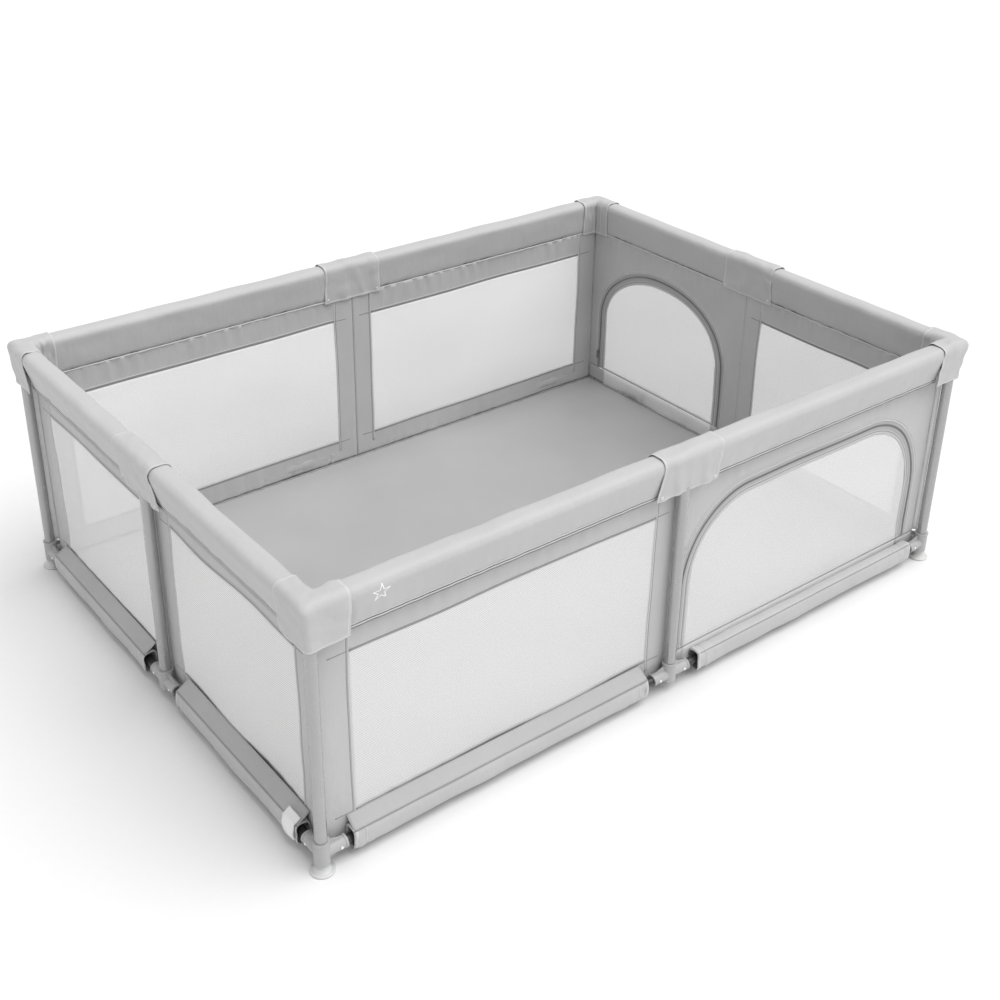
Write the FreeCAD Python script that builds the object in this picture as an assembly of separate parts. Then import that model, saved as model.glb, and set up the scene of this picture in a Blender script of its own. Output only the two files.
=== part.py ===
"""A rectangular indoor playpen with padded top rails, fabric walls, mesh windows and two zipped doors.

Frame: origin on the floor under the middle of the pen, +X along the long side, +Y to the back, +Z up.
A side is drawn in its own frame first: X along the side to the right as seen from outside, -Y outwards,
with the line of its posts on Y = 0. It is then moved out and turned to the front, right, back or left.
"""
import FreeCAD, Part
import math
import os

V = FreeCAD.Vector

# ---- overall sizes (mm) ----
LENGTH_BETWEEN_POSTS = 1990.0
WIDTH_BETWEEN_POSTS = 1430.0
HEIGHT = 686.0

# ---- posts and rails ----
POST_DIAMETER = 28.0
TUBE_WALL = 0.8
RAIL_DIAMETER = 22.0
BOTTOM_RAIL_HEIGHT = 48.0
FIT_CLEARANCE = 0.1

# ---- moulded connectors ----
CONNECTOR_WALL = 3.9
SOCKET_TOP = 80.0
SOCKET_BOTTOM = 22.0
POST_SEAT = 36.0
TEE_BOTTOM = 28.0
ARM_WALL = 3.4
ARM_REACH = 58.0
RAIL_STOP_WALL = 6.5
GUSSET_THICKNESS = 5.0
GUSSET_REACH = 54.0
GUSSET_TOP_DROP = 6.0
LOWER_WEB_REACH = 46.0
SOCKET_RIM_HEIGHT = 4.0
SOCKET_RIM_STEP = 1.0
ARM_COLLAR_LENGTH = 5.0
ARM_COLLAR_STEP = 1.2
TOP_SOCKET_DEPTH = 30.0
TOP_HUB_CAP = 16.0
TOP_POST_GAP = 18.0

# ---- spring buttons at the rail ends ----
BUTTON_DIAMETER = 7.0
BUTTON_CLEARANCE = 0.4
BUTTON_FROM_POST = 41.0
BUTTON_PROUD = 2.2
BUTTON_FLANGE = 9.0
BUTTON_FLANGE_THICKNESS = 1.2
BUTTON_ROUND = 1.2

# ---- suction feet ----
FOOT_DIAMETER = 56.0
FOOT_LIP = 2.5
FOOT_RIM_HEIGHT = 2.5
FOOT_NECK_DIAMETER = 26.0
FOOT_CONE_HEIGHT = 16.0
FOOT_HOLLOW_HEIGHT = 9.0
FOOT_HOLLOW_TOP_DIAMETER = 16.0
FOOT_STEM_DIAMETER = 12.0
FOOT_STEM_END_GAP = 2.0

# ---- padded top rails ----
FABRIC = 1.2
FOAM_GAP = 0.3
FOAM_PAST_ARM = 4.0
COVER_WIDTH = 54.0
COVER_HEIGHT = 108.0
COVER_PAST_ARM = 2.0
COVER_ROUND = 24.0
COVER_GAP = 1.8
COVER_TOP_GAP = 0.4

# ---- wraps over the top connectors ----
WRAP_GAP = 1.8
WRAP_DROP = 4.0
MID_WRAP_LAP = 40.0
CORNER_WRAP_LAP = 22.0
WRAP_ROUND = 26.0

# ---- walls and floor ----
WALL_GAP = 1.5
FLOOR_HEIGHT = 30.0
MESH = 0.8
LOWER_BORDER = 24.0
UPPER_BORDER = 72.0
MID_BORDER = 65.0
CORNER_BORDER = 97.0
SLEEVE_HEIGHT = 56.0
SLEEVE_ROUND = 17.0
SLEEVE_PAST_CORNER_ARM = 12.0
SLEEVE_PAST_TEE_ARM = 26.0

# ---- zipped doors, both in the bay to the right of their side's middle post ----
SILL_STEP = 8.0
SILL_GAP = 2.5
DOOR_HEADROOM = 105.0
FLAP_BORDER = 26.0
FLAP_GAP = 0.6
DOOR_HEM = 12.0
ZIP_TAPE_WIDTH = 11.0
ZIP_TAPE = 0.8
FRONT_DOOR_MID_BORDER = 65.0
FRONT_DOOR_ROUND = 190.0
FRONT_DOOR_RISE = 205.0
SIDE_DOOR_MID_BORDER = 100.0
SIDE_DOOR_RISE = 185.0

# ---- zip sliders and their pulls ----
SLIDER_WIDTH = 9.0
SLIDER_HEIGHT = 14.0
SLIDER_THICKNESS = 3.0
SLIDER_GAP = 0.4
SLIDER_CHAMFER = 0.8
FRONT_SLIDER_ABOVE_SILL = 18.0
SIDE_SLIDER_ABOVE_SILL = 54.0
PULL_PIN_DIAMETER = 1.6
PULL_PIN_CLEARANCE = 0.08
PULL_PIN_STANDOFF = 2.4
PULL_EYE_DIAMETER = 3.6
PULL_EYE_WIDTH = 4.2
PULL_EAR = 1.2
PULL_SIDE_GAP = 0.2
PULL_LENGTH = 25.0
PULL_THICKNESS = 1.2
PULL_WIDTH = 6.0
PULL_NECK_BELOW_SLIDER = 3.0

# ---- care label ----
LABEL_WIDTH = 46.0
LABEL_HEIGHT = 40.0
LABEL_FROM_CORNER = 76.0

# ---- working allowances, not sizes of the object ----
OVERCUT = 1.0
NEAR = 0.01
FILLET_SPARE = 0.05

# ---- worked out from the sizes above ----
socket_diameter = POST_DIAMETER + 2 * CONNECTOR_WALL
arm_diameter = RAIL_DIAMETER + 2 * ARM_WALL
rail_stop = POST_DIAMETER / 2 + RAIL_STOP_WALL
foam_diameter = COVER_WIDTH - 2 * (FABRIC + COVER_GAP)
foam_from_post = ARM_REACH + FOAM_PAST_ARM
cover_from_post = ARM_REACH + COVER_PAST_ARM
cover_top = HEIGHT - FABRIC - WRAP_GAP
cover_bottom = cover_top - COVER_HEIGHT
top_rail_height = cover_top - FABRIC - COVER_TOP_GAP - foam_diameter / 2
post_top = top_rail_height - TOP_POST_GAP
foot_stem_top = POST_SEAT - FOOT_STEM_END_GAP
wall_inset = socket_diameter / 2 + WALL_GAP + FABRIC / 2
wall_outer = wall_inset - FABRIC / 2
wall_inner = wall_inset + FABRIC / 2
wall_bottom = FLOOR_HEIGHT - FABRIC
wrap_width = COVER_WIDTH + 2 * (WRAP_GAP + FABRIC)
wrap_bottom = cover_bottom - WRAP_DROP
corner_wrap_leg = cover_from_post + CORNER_WRAP_LAP
mid_wrap_half = cover_from_post + MID_WRAP_LAP
sleeve_bottom = BOTTOM_RAIL_HEIGHT - SLEEVE_HEIGHT / 2
sleeve_top = BOTTOM_RAIL_HEIGHT + SLEEVE_HEIGHT / 2
sleeve_from_corner = ARM_REACH + SLEEVE_PAST_CORNER_ARM
sleeve_from_mid = ARM_REACH + SLEEVE_PAST_TEE_ARM
window_bottom = sleeve_top + LOWER_BORDER
window_top = cover_bottom - UPPER_BORDER
door_sill = sleeve_top + SILL_STEP
door_top = cover_bottom - DOOR_HEADROOM
side_door_half_width = (WIDTH_BETWEEN_POSTS / 2 - SIDE_DOOR_MID_BORDER - CORNER_BORDER) / 2

SIDES = {
    "front": {"turn": 0, "half": LENGTH_BETWEEN_POSTS / 2, "out": WIDTH_BETWEEN_POSTS / 2},
    "right": {"turn": 90, "half": WIDTH_BETWEEN_POSTS / 2, "out": LENGTH_BETWEEN_POSTS / 2},
    "back": {"turn": 180, "half": LENGTH_BETWEEN_POSTS / 2, "out": WIDTH_BETWEEN_POSTS / 2},
    "left": {"turn": 270, "half": WIDTH_BETWEEN_POSTS / 2, "out": LENGTH_BETWEEN_POSTS / 2},
}
LONG_SIDES = ("front", "back")
CORNERS = {
    "front_left": (-1, -1, 0),
    "front_right": (1, -1, 90),
    "back_right": (1, 1, 180),
    "back_left": (-1, 1, 270),
}
DOORS = {
    "front": {
        "mid_border": FRONT_DOOR_MID_BORDER,
        "round": FRONT_DOOR_ROUND,
        "rise": FRONT_DOOR_RISE,
        "slider_bottom": door_sill + FRONT_SLIDER_ABOVE_SILL,
        "slider_faces": -1,
        "slider_leg": -1,
    },
    "right": {
        "mid_border": SIDE_DOOR_MID_BORDER,
        "round": side_door_half_width,
        "rise": SIDE_DOOR_RISE,
        "slider_bottom": door_sill + SIDE_SLIDER_ABOVE_SILL,
        "slider_faces": 1,
        "slider_leg": 1,
    },
}
DOOR_NAMES = {"front": "front", "right": "side"}


# ---- shapes ----
def block(x0, x1, y0, y1, z0, z1):
    """A box between two corners, given in either order along each axis."""
    low = V(min(x0, x1), min(y0, y1), min(z0, z1))
    return Part.makeBox(abs(x1 - x0), abs(y1 - y0), abs(z1 - z0), low)


def rod(start, direction, diameter, length):
    return Part.makeCylinder(diameter / 2, length, start, direction)


def joined(shapes):
    """The union of shapes that run into each other, with no seams left on it."""
    whole = shapes[0].fuse(list(shapes[1:]))
    return whole.removeSplitter()


def group(shapes):
    """Separate solids kept in one file."""
    return Part.makeCompound(shapes)


def rounded_bar(x0, x1, width, z0, z1, top_round, bottom_round=0.0):
    """A bar along X with its long top edges rounded, and its lower ones too where a radius is given."""
    bar = block(x0, x1, -width / 2, width / 2, z0, z1)
    for height, radius in ((z1, top_round), (z0, bottom_round)):
        if radius > 0:
            limit = min(radius, width / 2 - FILLET_SPARE, (z1 - z0) / 2 - FILLET_SPARE)
            edges = [e for e in bar.Edges if is_long_edge(e, height)]
            bar = bar.makeFillet(limit, edges)
    return bar


def is_long_edge(edge, height):
    """True for a straight edge along X at one height."""
    a = edge.Vertexes[0].Point
    b = edge.Vertexes[-1].Point
    level = abs(a.z - height) < NEAR and abs(b.z - height) < NEAR
    return level and abs(a.y - b.y) < NEAR and abs(a.x - b.x) > NEAR


def on_side(side, shape):
    """Moves a shape from its side's own frame into the pen's frame."""
    placed = shape.copy()
    placed.translate(V(0, -SIDES[side]["out"], 0))
    placed.rotate(V(0, 0, 0), V(0, 0, 1), SIDES[side]["turn"])
    return placed


def at_corner(corner, shape):
    """Moves a shape drawn for the front left corner, with its post on the Z axis, to any corner."""
    along, across, turn = CORNERS[corner]
    placed = shape.copy()
    placed.rotate(V(0, 0, 0), V(0, 0, 1), turn)
    placed.translate(V(along * LENGTH_BETWEEN_POSTS / 2, across * WIDTH_BETWEEN_POSTS / 2, 0))
    return placed


# ---- posts and rails ----
def post():
    outer = rod(V(0, 0, POST_SEAT), V(0, 0, 1), POST_DIAMETER, post_top - POST_SEAT)
    inner = rod(V(0, 0, POST_SEAT), V(0, 0, 1), POST_DIAMETER - 2 * TUBE_WALL, post_top - POST_SEAT)
    return outer.cut(inner)


def rail_tube(start, end, height):
    """A tube along X between two distances from the middle of its side."""
    outer = rod(V(start, 0, height), V(1, 0, 0), RAIL_DIAMETER, end - start)
    inner = rod(V(start, 0, height), V(1, 0, 0), RAIL_DIAMETER - 2 * TUBE_WALL, end - start)
    return outer.cut(inner)


def button_places(side):
    """Distances along a side of its four rail ends' spring buttons."""
    half = SIDES[side]["half"]
    outer = half - BUTTON_FROM_POST
    return (-outer, -BUTTON_FROM_POST, BUTTON_FROM_POST, outer)


def button_hole(x, height):
    return rod(V(x, 0, height), V(0, -1, 0), BUTTON_DIAMETER + 2 * BUTTON_CLEARANCE, socket_diameter)


def bay_rails(side, height, with_buttons):
    """The two rails of a side, from its corner posts to its middle post."""
    half = SIDES[side]["half"]
    tubes = []
    for start, end in ((-half + rail_stop, -rail_stop), (rail_stop, half - rail_stop)):
        tube = rail_tube(start, end, height)
        if with_buttons:
            for x in button_places(side):
                if start < x < end:
                    tube = tube.cut(button_hole(x, height))
        tubes.append(on_side(side, tube))
    return tubes


def snap_button(x):
    """A domed spring button that stands out through the rail and the connector's arm."""
    face = -(arm_diameter / 2 + BUTTON_PROUD)
    inner_radius = RAIL_DIAMETER / 2 - TUBE_WALL
    flange_face = -math.sqrt(inner_radius**2 - (BUTTON_FLANGE / 2) ** 2) + FIT_CLEARANCE
    height = BOTTOM_RAIL_HEIGHT
    pin = rod(V(x, face, height), V(0, 1, 0), BUTTON_DIAMETER, flange_face - face)
    rim = [e for e in pin.Edges if abs(e.BoundBox.YMax - face) < NEAR]
    pin = pin.makeFillet(BUTTON_ROUND, rim)
    flange = rod(V(x, flange_face, height), V(0, 1, 0), BUTTON_FLANGE, BUTTON_FLANGE_THICKNESS)
    return joined([pin, flange])


# ---- connectors ----
def arm(direction, height):
    """One arm of a connector, reaching out along a direction from the post's axis to a collar."""
    barrel = rod(V(0, 0, height), direction, arm_diameter, ARM_REACH)
    start = V(0, 0, height) + direction * (ARM_REACH - ARM_COLLAR_LENGTH)
    collar = rod(start, direction, arm_diameter + 2 * ARM_COLLAR_STEP, ARM_COLLAR_LENGTH)
    return barrel.fuse(collar)


def arm_bore(direction, height):
    start = V(0, 0, height) + direction * (rail_stop - FIT_CLEARANCE)
    length = ARM_REACH - rail_stop + 2 * FIT_CLEARANCE
    return rod(start, direction, RAIL_DIAMETER + 2 * FIT_CLEARANCE, length)


def web(direction, reach, height, post_height):
    """A triangular web between a socket's side and one arm, with its long edge from socket to arm."""
    start = POST_DIAMETER / 2 + CONNECTOR_WALL / 2
    corners = [V(start, 0, height), V(reach, 0, height), V(start, 0, post_height), V(start, 0, height)]
    plate = Part.Face(Part.makePolygon(corners)).extrude(V(0, GUSSET_THICKNESS, 0))
    plate.translate(V(0, -GUSSET_THICKNESS / 2, 0))
    plate.rotate(V(0, 0, 0), V(0, 0, 1), math.degrees(math.atan2(direction.y, direction.x)))
    return plate


def bottom_connector(directions, base, seat):
    """A socket for a post with one arm for each rail, webs above and below each arm, and a rim."""
    rim_diameter = socket_diameter + 2 * SOCKET_RIM_STEP
    arm_skin = RAIL_DIAMETER / 2 + ARM_WALL / 2
    upper_web_top = SOCKET_TOP - GUSSET_TOP_DROP
    parts = [
        rod(V(0, 0, base), V(0, 0, 1), socket_diameter, SOCKET_TOP - base),
        rod(V(0, 0, SOCKET_TOP - SOCKET_RIM_HEIGHT), V(0, 0, 1), rim_diameter, SOCKET_RIM_HEIGHT),
    ]
    for direction in directions:
        parts.append(arm(direction, BOTTOM_RAIL_HEIGHT))
        parts.append(web(direction, GUSSET_REACH, BOTTOM_RAIL_HEIGHT + arm_skin, upper_web_top))
        parts.append(web(direction, LOWER_WEB_REACH, BOTTOM_RAIL_HEIGHT - arm_skin, base))
    body = joined(parts)
    body = body.cut(rod(V(0, 0, seat), V(0, 0, 1), POST_DIAMETER + 2 * FIT_CLEARANCE, SOCKET_TOP))
    for direction in directions:
        body = body.cut(arm_bore(direction, BOTTOM_RAIL_HEIGHT))
    return body


def bottom_corner_connector():
    body = bottom_connector((V(1, 0, 0), V(0, 1, 0)), SOCKET_BOTTOM, POST_SEAT)
    stem_hole = FOOT_STEM_DIAMETER + 2 * FIT_CLEARANCE
    body = body.cut(rod(V(0, 0, 0), V(0, 0, 1), stem_hole, POST_SEAT + OVERCUT))
    for hole_turn in (0, 90):
        hole = button_hole(BUTTON_FROM_POST, BOTTOM_RAIL_HEIGHT)
        if hole_turn:
            hole = hole.mirror(V(0, 0, 0), V(0, 1, 0))
            hole.rotate(V(0, 0, 0), V(0, 0, 1), hole_turn)
        body = body.cut(hole)
    return body


def bottom_tee_connector():
    body = bottom_connector((V(1, 0, 0), V(-1, 0, 0)), TEE_BOTTOM, POST_SEAT)
    for x in (-BUTTON_FROM_POST, BUTTON_FROM_POST):
        body = body.cut(button_hole(x, BOTTOM_RAIL_HEIGHT))
    return body


def top_connector(directions):
    """A socket turned down over a post, with one arm for each padded rail."""
    low = post_top - TOP_SOCKET_DEPTH
    hub = rod(V(0, 0, low), V(0, 0, 1), socket_diameter, top_rail_height + TOP_HUB_CAP - low)
    body = joined([hub] + [arm(d, top_rail_height) for d in directions])
    bore = POST_DIAMETER + 2 * FIT_CLEARANCE
    body = body.cut(rod(V(0, 0, low - OVERCUT), V(0, 0, 1), bore, post_top - low + OVERCUT))
    for direction in directions:
        body = body.cut(arm_bore(direction, top_rail_height))
    return body


# ---- feet ----
def suction_foot():
    """A hollow cup turned round the post's axis, with a stem pushed into the connector."""
    half = FOOT_DIAMETER / 2
    outline = [
        V(half - FOOT_LIP, 0, 0),
        V(half, 0, 0),
        V(half, 0, FOOT_RIM_HEIGHT),
        V(FOOT_NECK_DIAMETER / 2, 0, FOOT_CONE_HEIGHT),
        V(FOOT_NECK_DIAMETER / 2, 0, SOCKET_BOTTOM),
        V(FOOT_STEM_DIAMETER / 2, 0, SOCKET_BOTTOM),
        V(FOOT_STEM_DIAMETER / 2, 0, foot_stem_top),
        V(0, 0, foot_stem_top),
        V(0, 0, FOOT_HOLLOW_HEIGHT),
        V(FOOT_HOLLOW_TOP_DIAMETER / 2, 0, FOOT_HOLLOW_HEIGHT),
        V(half - FOOT_LIP, 0, 0),
    ]
    return Part.Face(Part.makePolygon(outline)).revolve(V(0, 0, 0), V(0, 0, 1), 360)


# ---- padded top rails ----
def bay_spans(side, from_corner, from_mid):
    """The two stretches of a side, one in each bay, clear of its posts by the given distances."""
    half = SIDES[side]["half"]
    return ((-half + from_corner, -from_mid), (from_mid, half - from_corner))


def foam_pad(start, end):
    outer = rod(V(start, 0, top_rail_height), V(1, 0, 0), foam_diameter, end - start)
    bore = rod(V(start, 0, top_rail_height), V(1, 0, 0), RAIL_DIAMETER + 2 * FOAM_GAP, end - start)
    return outer.cut(bore)


def rail_cover(start, end):
    """A fabric tube, deeper than it is wide, that holds a foam pad and hangs down to the wall."""
    outer = rounded_bar(start, end, COVER_WIDTH, cover_bottom, cover_top, COVER_ROUND, FABRIC)
    inner = rounded_bar(
        start - OVERCUT,
        end + OVERCUT,
        COVER_WIDTH - 2 * FABRIC,
        cover_bottom + FABRIC,
        cover_top - FABRIC,
        COVER_ROUND - FABRIC,
    )
    return outer.cut(inner)


def wrap_bar(start, end, shrink):
    """One leg of a wrap as a solid bar, smaller all round by the fabric's thickness where shrink is 1."""
    less = shrink * FABRIC
    low = wrap_bottom - shrink * OVERCUT
    return rounded_bar(start, end, wrap_width - 2 * less, low, HEIGHT - less, WRAP_ROUND - less)


def mid_wrap():
    """A saddle of fabric over a middle post's top connector, open below."""
    outer = wrap_bar(-mid_wrap_half, mid_wrap_half, 0)
    inner = wrap_bar(-mid_wrap_half - OVERCUT, mid_wrap_half + OVERCUT, 1)
    return outer.cut(inner)


def corner_block(shrink):
    """Both legs of a corner wrap as one solid, with the outer upright edge rounded."""
    less = shrink * FABRIC
    back = -wrap_width / 2 + less
    leg = wrap_bar(back, corner_wrap_leg + shrink * OVERCUT, shrink)
    other = leg.mirror(V(0, 0, 0), V(1, -1, 0))
    far = corner_wrap_leg + 2 * OVERCUT
    limits = block(back, far, back, far, wrap_bottom - 2 * OVERCUT, HEIGHT)
    edges = [e for e in limits.Edges if is_outer_corner(e, back)]
    limits = limits.makeFillet(WRAP_ROUND / 2 - less, edges)
    return joined([leg, other]).common(limits)


def is_outer_corner(edge, back):
    """True for the upright edge where a corner wrap's two outer faces meet."""
    box = edge.BoundBox
    narrow = box.XLength < NEAR and box.YLength < NEAR
    return narrow and abs(box.XMin - back) < NEAR and abs(box.YMin - back) < NEAR


def corner_wrap():
    return corner_block(0).cut(corner_block(1))


# ---- walls ----
def wall_plate(x0, x1, z0, z1, thickness=FABRIC):
    """A flat upright piece in the plane of a side's wall."""
    return block(x0, x1, wall_inset - thickness / 2, wall_inset + thickness / 2, z0, z1)


def wall_end(side):
    """Where a side's wall stops: long sides lap the ends of the short ones."""
    half = SIDES[side]["half"]
    return half - wall_outer if side in LONG_SIDES else half - wall_inner


def bays(side):
    """Each bay as its middle end, its corner end and which way it lies from the middle post."""
    return [(sign * 0.0, sign * wall_end(side), sign) for sign in (-1, 1)]


def has_door(side, sign):
    return side in DOORS and sign == 1


def window_edges(side, sign):
    """A bay's window, from its middle edge to its corner edge."""
    return sign * MID_BORDER, sign * (SIDES[side]["half"] - CORNER_BORDER)


def window_bay(side, mid, end, sign):
    """Four sewn strips round a window."""
    inner, outer = window_edges(side, sign)
    return [
        wall_plate(mid, inner, wall_bottom, cover_bottom),
        wall_plate(outer, end, wall_bottom, cover_bottom),
        wall_plate(inner, outer, wall_bottom, window_bottom),
        wall_plate(inner, outer, window_top, cover_bottom),
    ]


def door_middle(side):
    """The door's middle and half its width at the edge of its mesh."""
    door = DOORS[side]
    low = door["mid_border"]
    high = SIDES[side]["half"] - CORNER_BORDER
    return (low + high) / 2, (high - low) / 2


def ellipse_plate(x, z, across, up, thickness):
    """An upright oval plate with the given half sizes."""
    major, minor = max(across, up), min(across, up)
    oval = Part.Face(Part.Wire([Part.Ellipse(V(0, 0, 0), major, minor).toShape()]))
    plate = oval.extrude(V(0, 0, thickness))
    if up > across:
        plate.rotate(V(0, 0, 0), V(0, 0, 1), 90)
    plate.rotate(V(0, 0, 0), V(1, 0, 0), 90)
    plate.translate(V(x, thickness, z))
    return plate


def arch_plate(side, spread, base, thickness, face):
    """A plate with a door's arched outline, its edge moved out by spread from the edge of the mesh."""
    door = DOORS[side]
    x, half = door_middle(side)
    half += spread
    across = door["round"] + spread
    up = door["rise"] + spread
    top = door_top + spread
    flat = half - across
    parts = [block(x - half, x + half, 0, thickness, base, top - up)]
    if flat > NEAR:
        parts.append(block(x - flat, x + flat, 0, thickness, base, top))
        parts.append(ellipse_plate(x - flat, top - up, across, up, thickness))
        parts.append(ellipse_plate(x + flat, top - up, across, up, thickness))
    else:
        parts.append(ellipse_plate(x, top - up, across, up, thickness))
    plate = joined(parts)
    below = block(x - 2 * half, x + 2 * half, -OVERCUT, thickness + OVERCUT, base - 2 * up, base)
    plate = plate.cut(below)
    plate.translate(V(0, face, 0))
    return plate


def door_bay(side, mid, end):
    """The pieces round a door: two uprights, two arched corners, the strip above and the sill below."""
    x, half = door_middle(side)
    spread = FLAP_BORDER + FLAP_GAP
    reach = half + spread + DOOR_HEM
    crown = door_top + spread + DOOR_HEM
    sill = door_sill - SILL_GAP
    hole = arch_plate(side, spread, sill - OVERCUT, 3 * FABRIC, wall_inset - 1.5 * FABRIC)
    strips = [
        wall_plate(mid, x - reach, wall_bottom, cover_bottom),
        wall_plate(x + reach, end, wall_bottom, cover_bottom),
        wall_plate(x - reach, x + reach, crown, cover_bottom),
        wall_plate(x - reach, x + reach, wall_bottom, sill),
    ]
    for sign in (-1, 1):
        corner = wall_plate(x, x + sign * reach, sill, crown)
        strips.append(corner.cut(hole))
    return strips


def wall_fabric(side):
    strips = []
    for mid, end, sign in bays(side):
        if has_door(side, sign):
            strips += door_bay(side, mid, end)
        else:
            strips += window_bay(side, mid, end, sign)
    return group([on_side(side, s) for s in strips])


def window_mesh(side):
    panes = []
    for mid, end, sign in bays(side):
        if not has_door(side, sign):
            inner, outer = window_edges(side, sign)
            panes.append(wall_plate(inner, outer, window_bottom, window_top, MESH))
    return group([on_side(side, p) for p in panes])


def rail_sleeve(start, end):
    """A fabric channel sewn to the wall, closed round a bottom rail."""
    outer = rounded_bar(start, end, 2 * wall_outer, sleeve_bottom, sleeve_top, SLEEVE_ROUND, SLEEVE_ROUND)
    inner = rounded_bar(
        start - OVERCUT,
        end + OVERCUT,
        2 * (wall_outer - FABRIC),
        sleeve_bottom + FABRIC,
        sleeve_top - FABRIC,
        SLEEVE_ROUND - FABRIC,
        SLEEVE_ROUND - FABRIC,
    )
    return outer.cut(inner)


def floor_sheet():
    x = LENGTH_BETWEEN_POSTS / 2 - wall_inner
    y = WIDTH_BETWEEN_POSTS / 2 - wall_inner
    return block(-x, x, -y, y, wall_bottom, FLOOR_HEIGHT)


# ---- doors ----
def zip_face(side, thickness):
    """Where a piece of the given thickness lies on the side of the wall that carries the zip."""
    if DOORS[side]["slider_faces"] < 0:
        return wall_outer - thickness
    return wall_inner


def arch_ring(side, outer, inner, base, thickness, face):
    ring = arch_plate(side, outer, base, thickness, face)
    return ring.cut(arch_plate(side, inner, base - OVERCUT, 3 * thickness, face - thickness))


def door_flap(side):
    """The fabric edge of a door, the mesh inside it and the flap's half of the zip."""
    edge = FLAP_BORDER - FLAP_GAP
    base = door_sill + FLAP_GAP
    border = arch_ring(side, edge, 0, base, FABRIC, wall_inset - FABRIC / 2)
    pane = arch_plate(side, 0, base, MESH, wall_inset - MESH / 2)
    tape = arch_ring(side, edge, edge - ZIP_TAPE_WIDTH, base, ZIP_TAPE, zip_face(side, ZIP_TAPE))
    return group([on_side(side, s) for s in (border, pane, tape)])


def zip_tape(side):
    """The wall's half of a door's zip."""
    outer = FLAP_BORDER + FLAP_GAP + ZIP_TAPE_WIDTH
    inner = FLAP_BORDER + FLAP_GAP
    ring = arch_ring(side, outer, inner, door_sill, ZIP_TAPE, zip_face(side, ZIP_TAPE))
    return on_side(side, ring)


def slider_place(side):
    """The middle of a slider along its side, the face it stands off from, and which way it faces."""
    door = DOORS[side]
    x, half = door_middle(side)
    chain = half + FLAP_BORDER
    middle = chain + FLAP_GAP + SLIDER_WIDTH / 2
    facing = door["slider_faces"]
    lift = FABRIC / 2 + ZIP_TAPE + SLIDER_GAP
    return x + door["slider_leg"] * middle, wall_inset + facing * lift, facing


def pull_pin_place(side):
    """The middle of the pin that a zip pull hangs from."""
    x, face, facing = slider_place(side)
    y = face + facing * (SLIDER_THICKNESS + PULL_PIN_STANDOFF)
    z = DOORS[side]["slider_bottom"] + SLIDER_HEIGHT / 2
    return V(x, y, z)


def zip_slider(side):
    """A slider body with two ears and the pin between them."""
    x, face, facing = slider_place(side)
    low = DOORS[side]["slider_bottom"]
    pin_at = pull_pin_place(side)
    far = face + facing * SLIDER_THICKNESS
    body = block(x - SLIDER_WIDTH / 2, x + SLIDER_WIDTH / 2, face, far, low, low + SLIDER_HEIGHT)
    front = [e for e in body.Edges if abs(e.BoundBox.YMin - far) < NEAR and abs(e.BoundBox.YMax - far) < NEAR]
    body = body.makeChamfer(SLIDER_CHAMFER, front)
    inside = PULL_EYE_WIDTH / 2 + PULL_SIDE_GAP
    parts = [body]
    for sign in (-1, 1):
        ear_x = x + sign * (inside + PULL_EAR / 2)
        ear = block(
            ear_x - PULL_EAR / 2,
            ear_x + PULL_EAR / 2,
            far - facing,
            pin_at.y + facing * PULL_EYE_DIAMETER / 2,
            pin_at.z - PULL_EYE_DIAMETER / 2,
            pin_at.z + PULL_EYE_DIAMETER / 2,
        )
        parts.append(ear)
    width = 2 * (inside + PULL_EAR)
    parts.append(rod(pin_at - V(width / 2, 0, 0), V(1, 0, 0), PULL_PIN_DIAMETER, width))
    return on_side(side, joined(parts))


def zip_pull(side):
    """A flat tab hanging from the slider's pin by an eye."""
    pin_at = pull_pin_place(side)
    left = V(pin_at.x - PULL_EYE_WIDTH / 2, pin_at.y, pin_at.z)
    eye = rod(left, V(1, 0, 0), PULL_EYE_DIAMETER, PULL_EYE_WIDTH)
    neck_low = pin_at.z - SLIDER_HEIGHT / 2 - PULL_NECK_BELOW_SLIDER
    half = PULL_THICKNESS / 2
    neck = block(
        pin_at.x - PULL_EYE_WIDTH / 2,
        pin_at.x + PULL_EYE_WIDTH / 2,
        pin_at.y - half,
        pin_at.y + half,
        neck_low,
        pin_at.z,
    )
    tab = block(
        pin_at.x - PULL_WIDTH / 2,
        pin_at.x + PULL_WIDTH / 2,
        pin_at.y - half,
        pin_at.y + half,
        pin_at.z - PULL_LENGTH,
        neck_low,
    )
    body = joined([eye, neck, tab])
    bore = PULL_PIN_DIAMETER + 2 * PULL_PIN_CLEARANCE
    hole = rod(left - V(OVERCUT, 0, 0), V(1, 0, 0), bore, PULL_EYE_WIDTH + 2 * OVERCUT)
    return on_side(side, body.cut(hole))


# ---- care label ----
def care_label():
    """A blank woven label that hangs on the left side's rail sleeve by the front corner."""
    end = SIDES["left"]["half"] - LABEL_FROM_CORNER
    top = sleeve_top - FABRIC
    face = -wall_outer - FABRIC
    plate = block(end - LABEL_WIDTH, end, face, -wall_outer, top - LABEL_HEIGHT, top)
    return on_side("left", plate)


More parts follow.
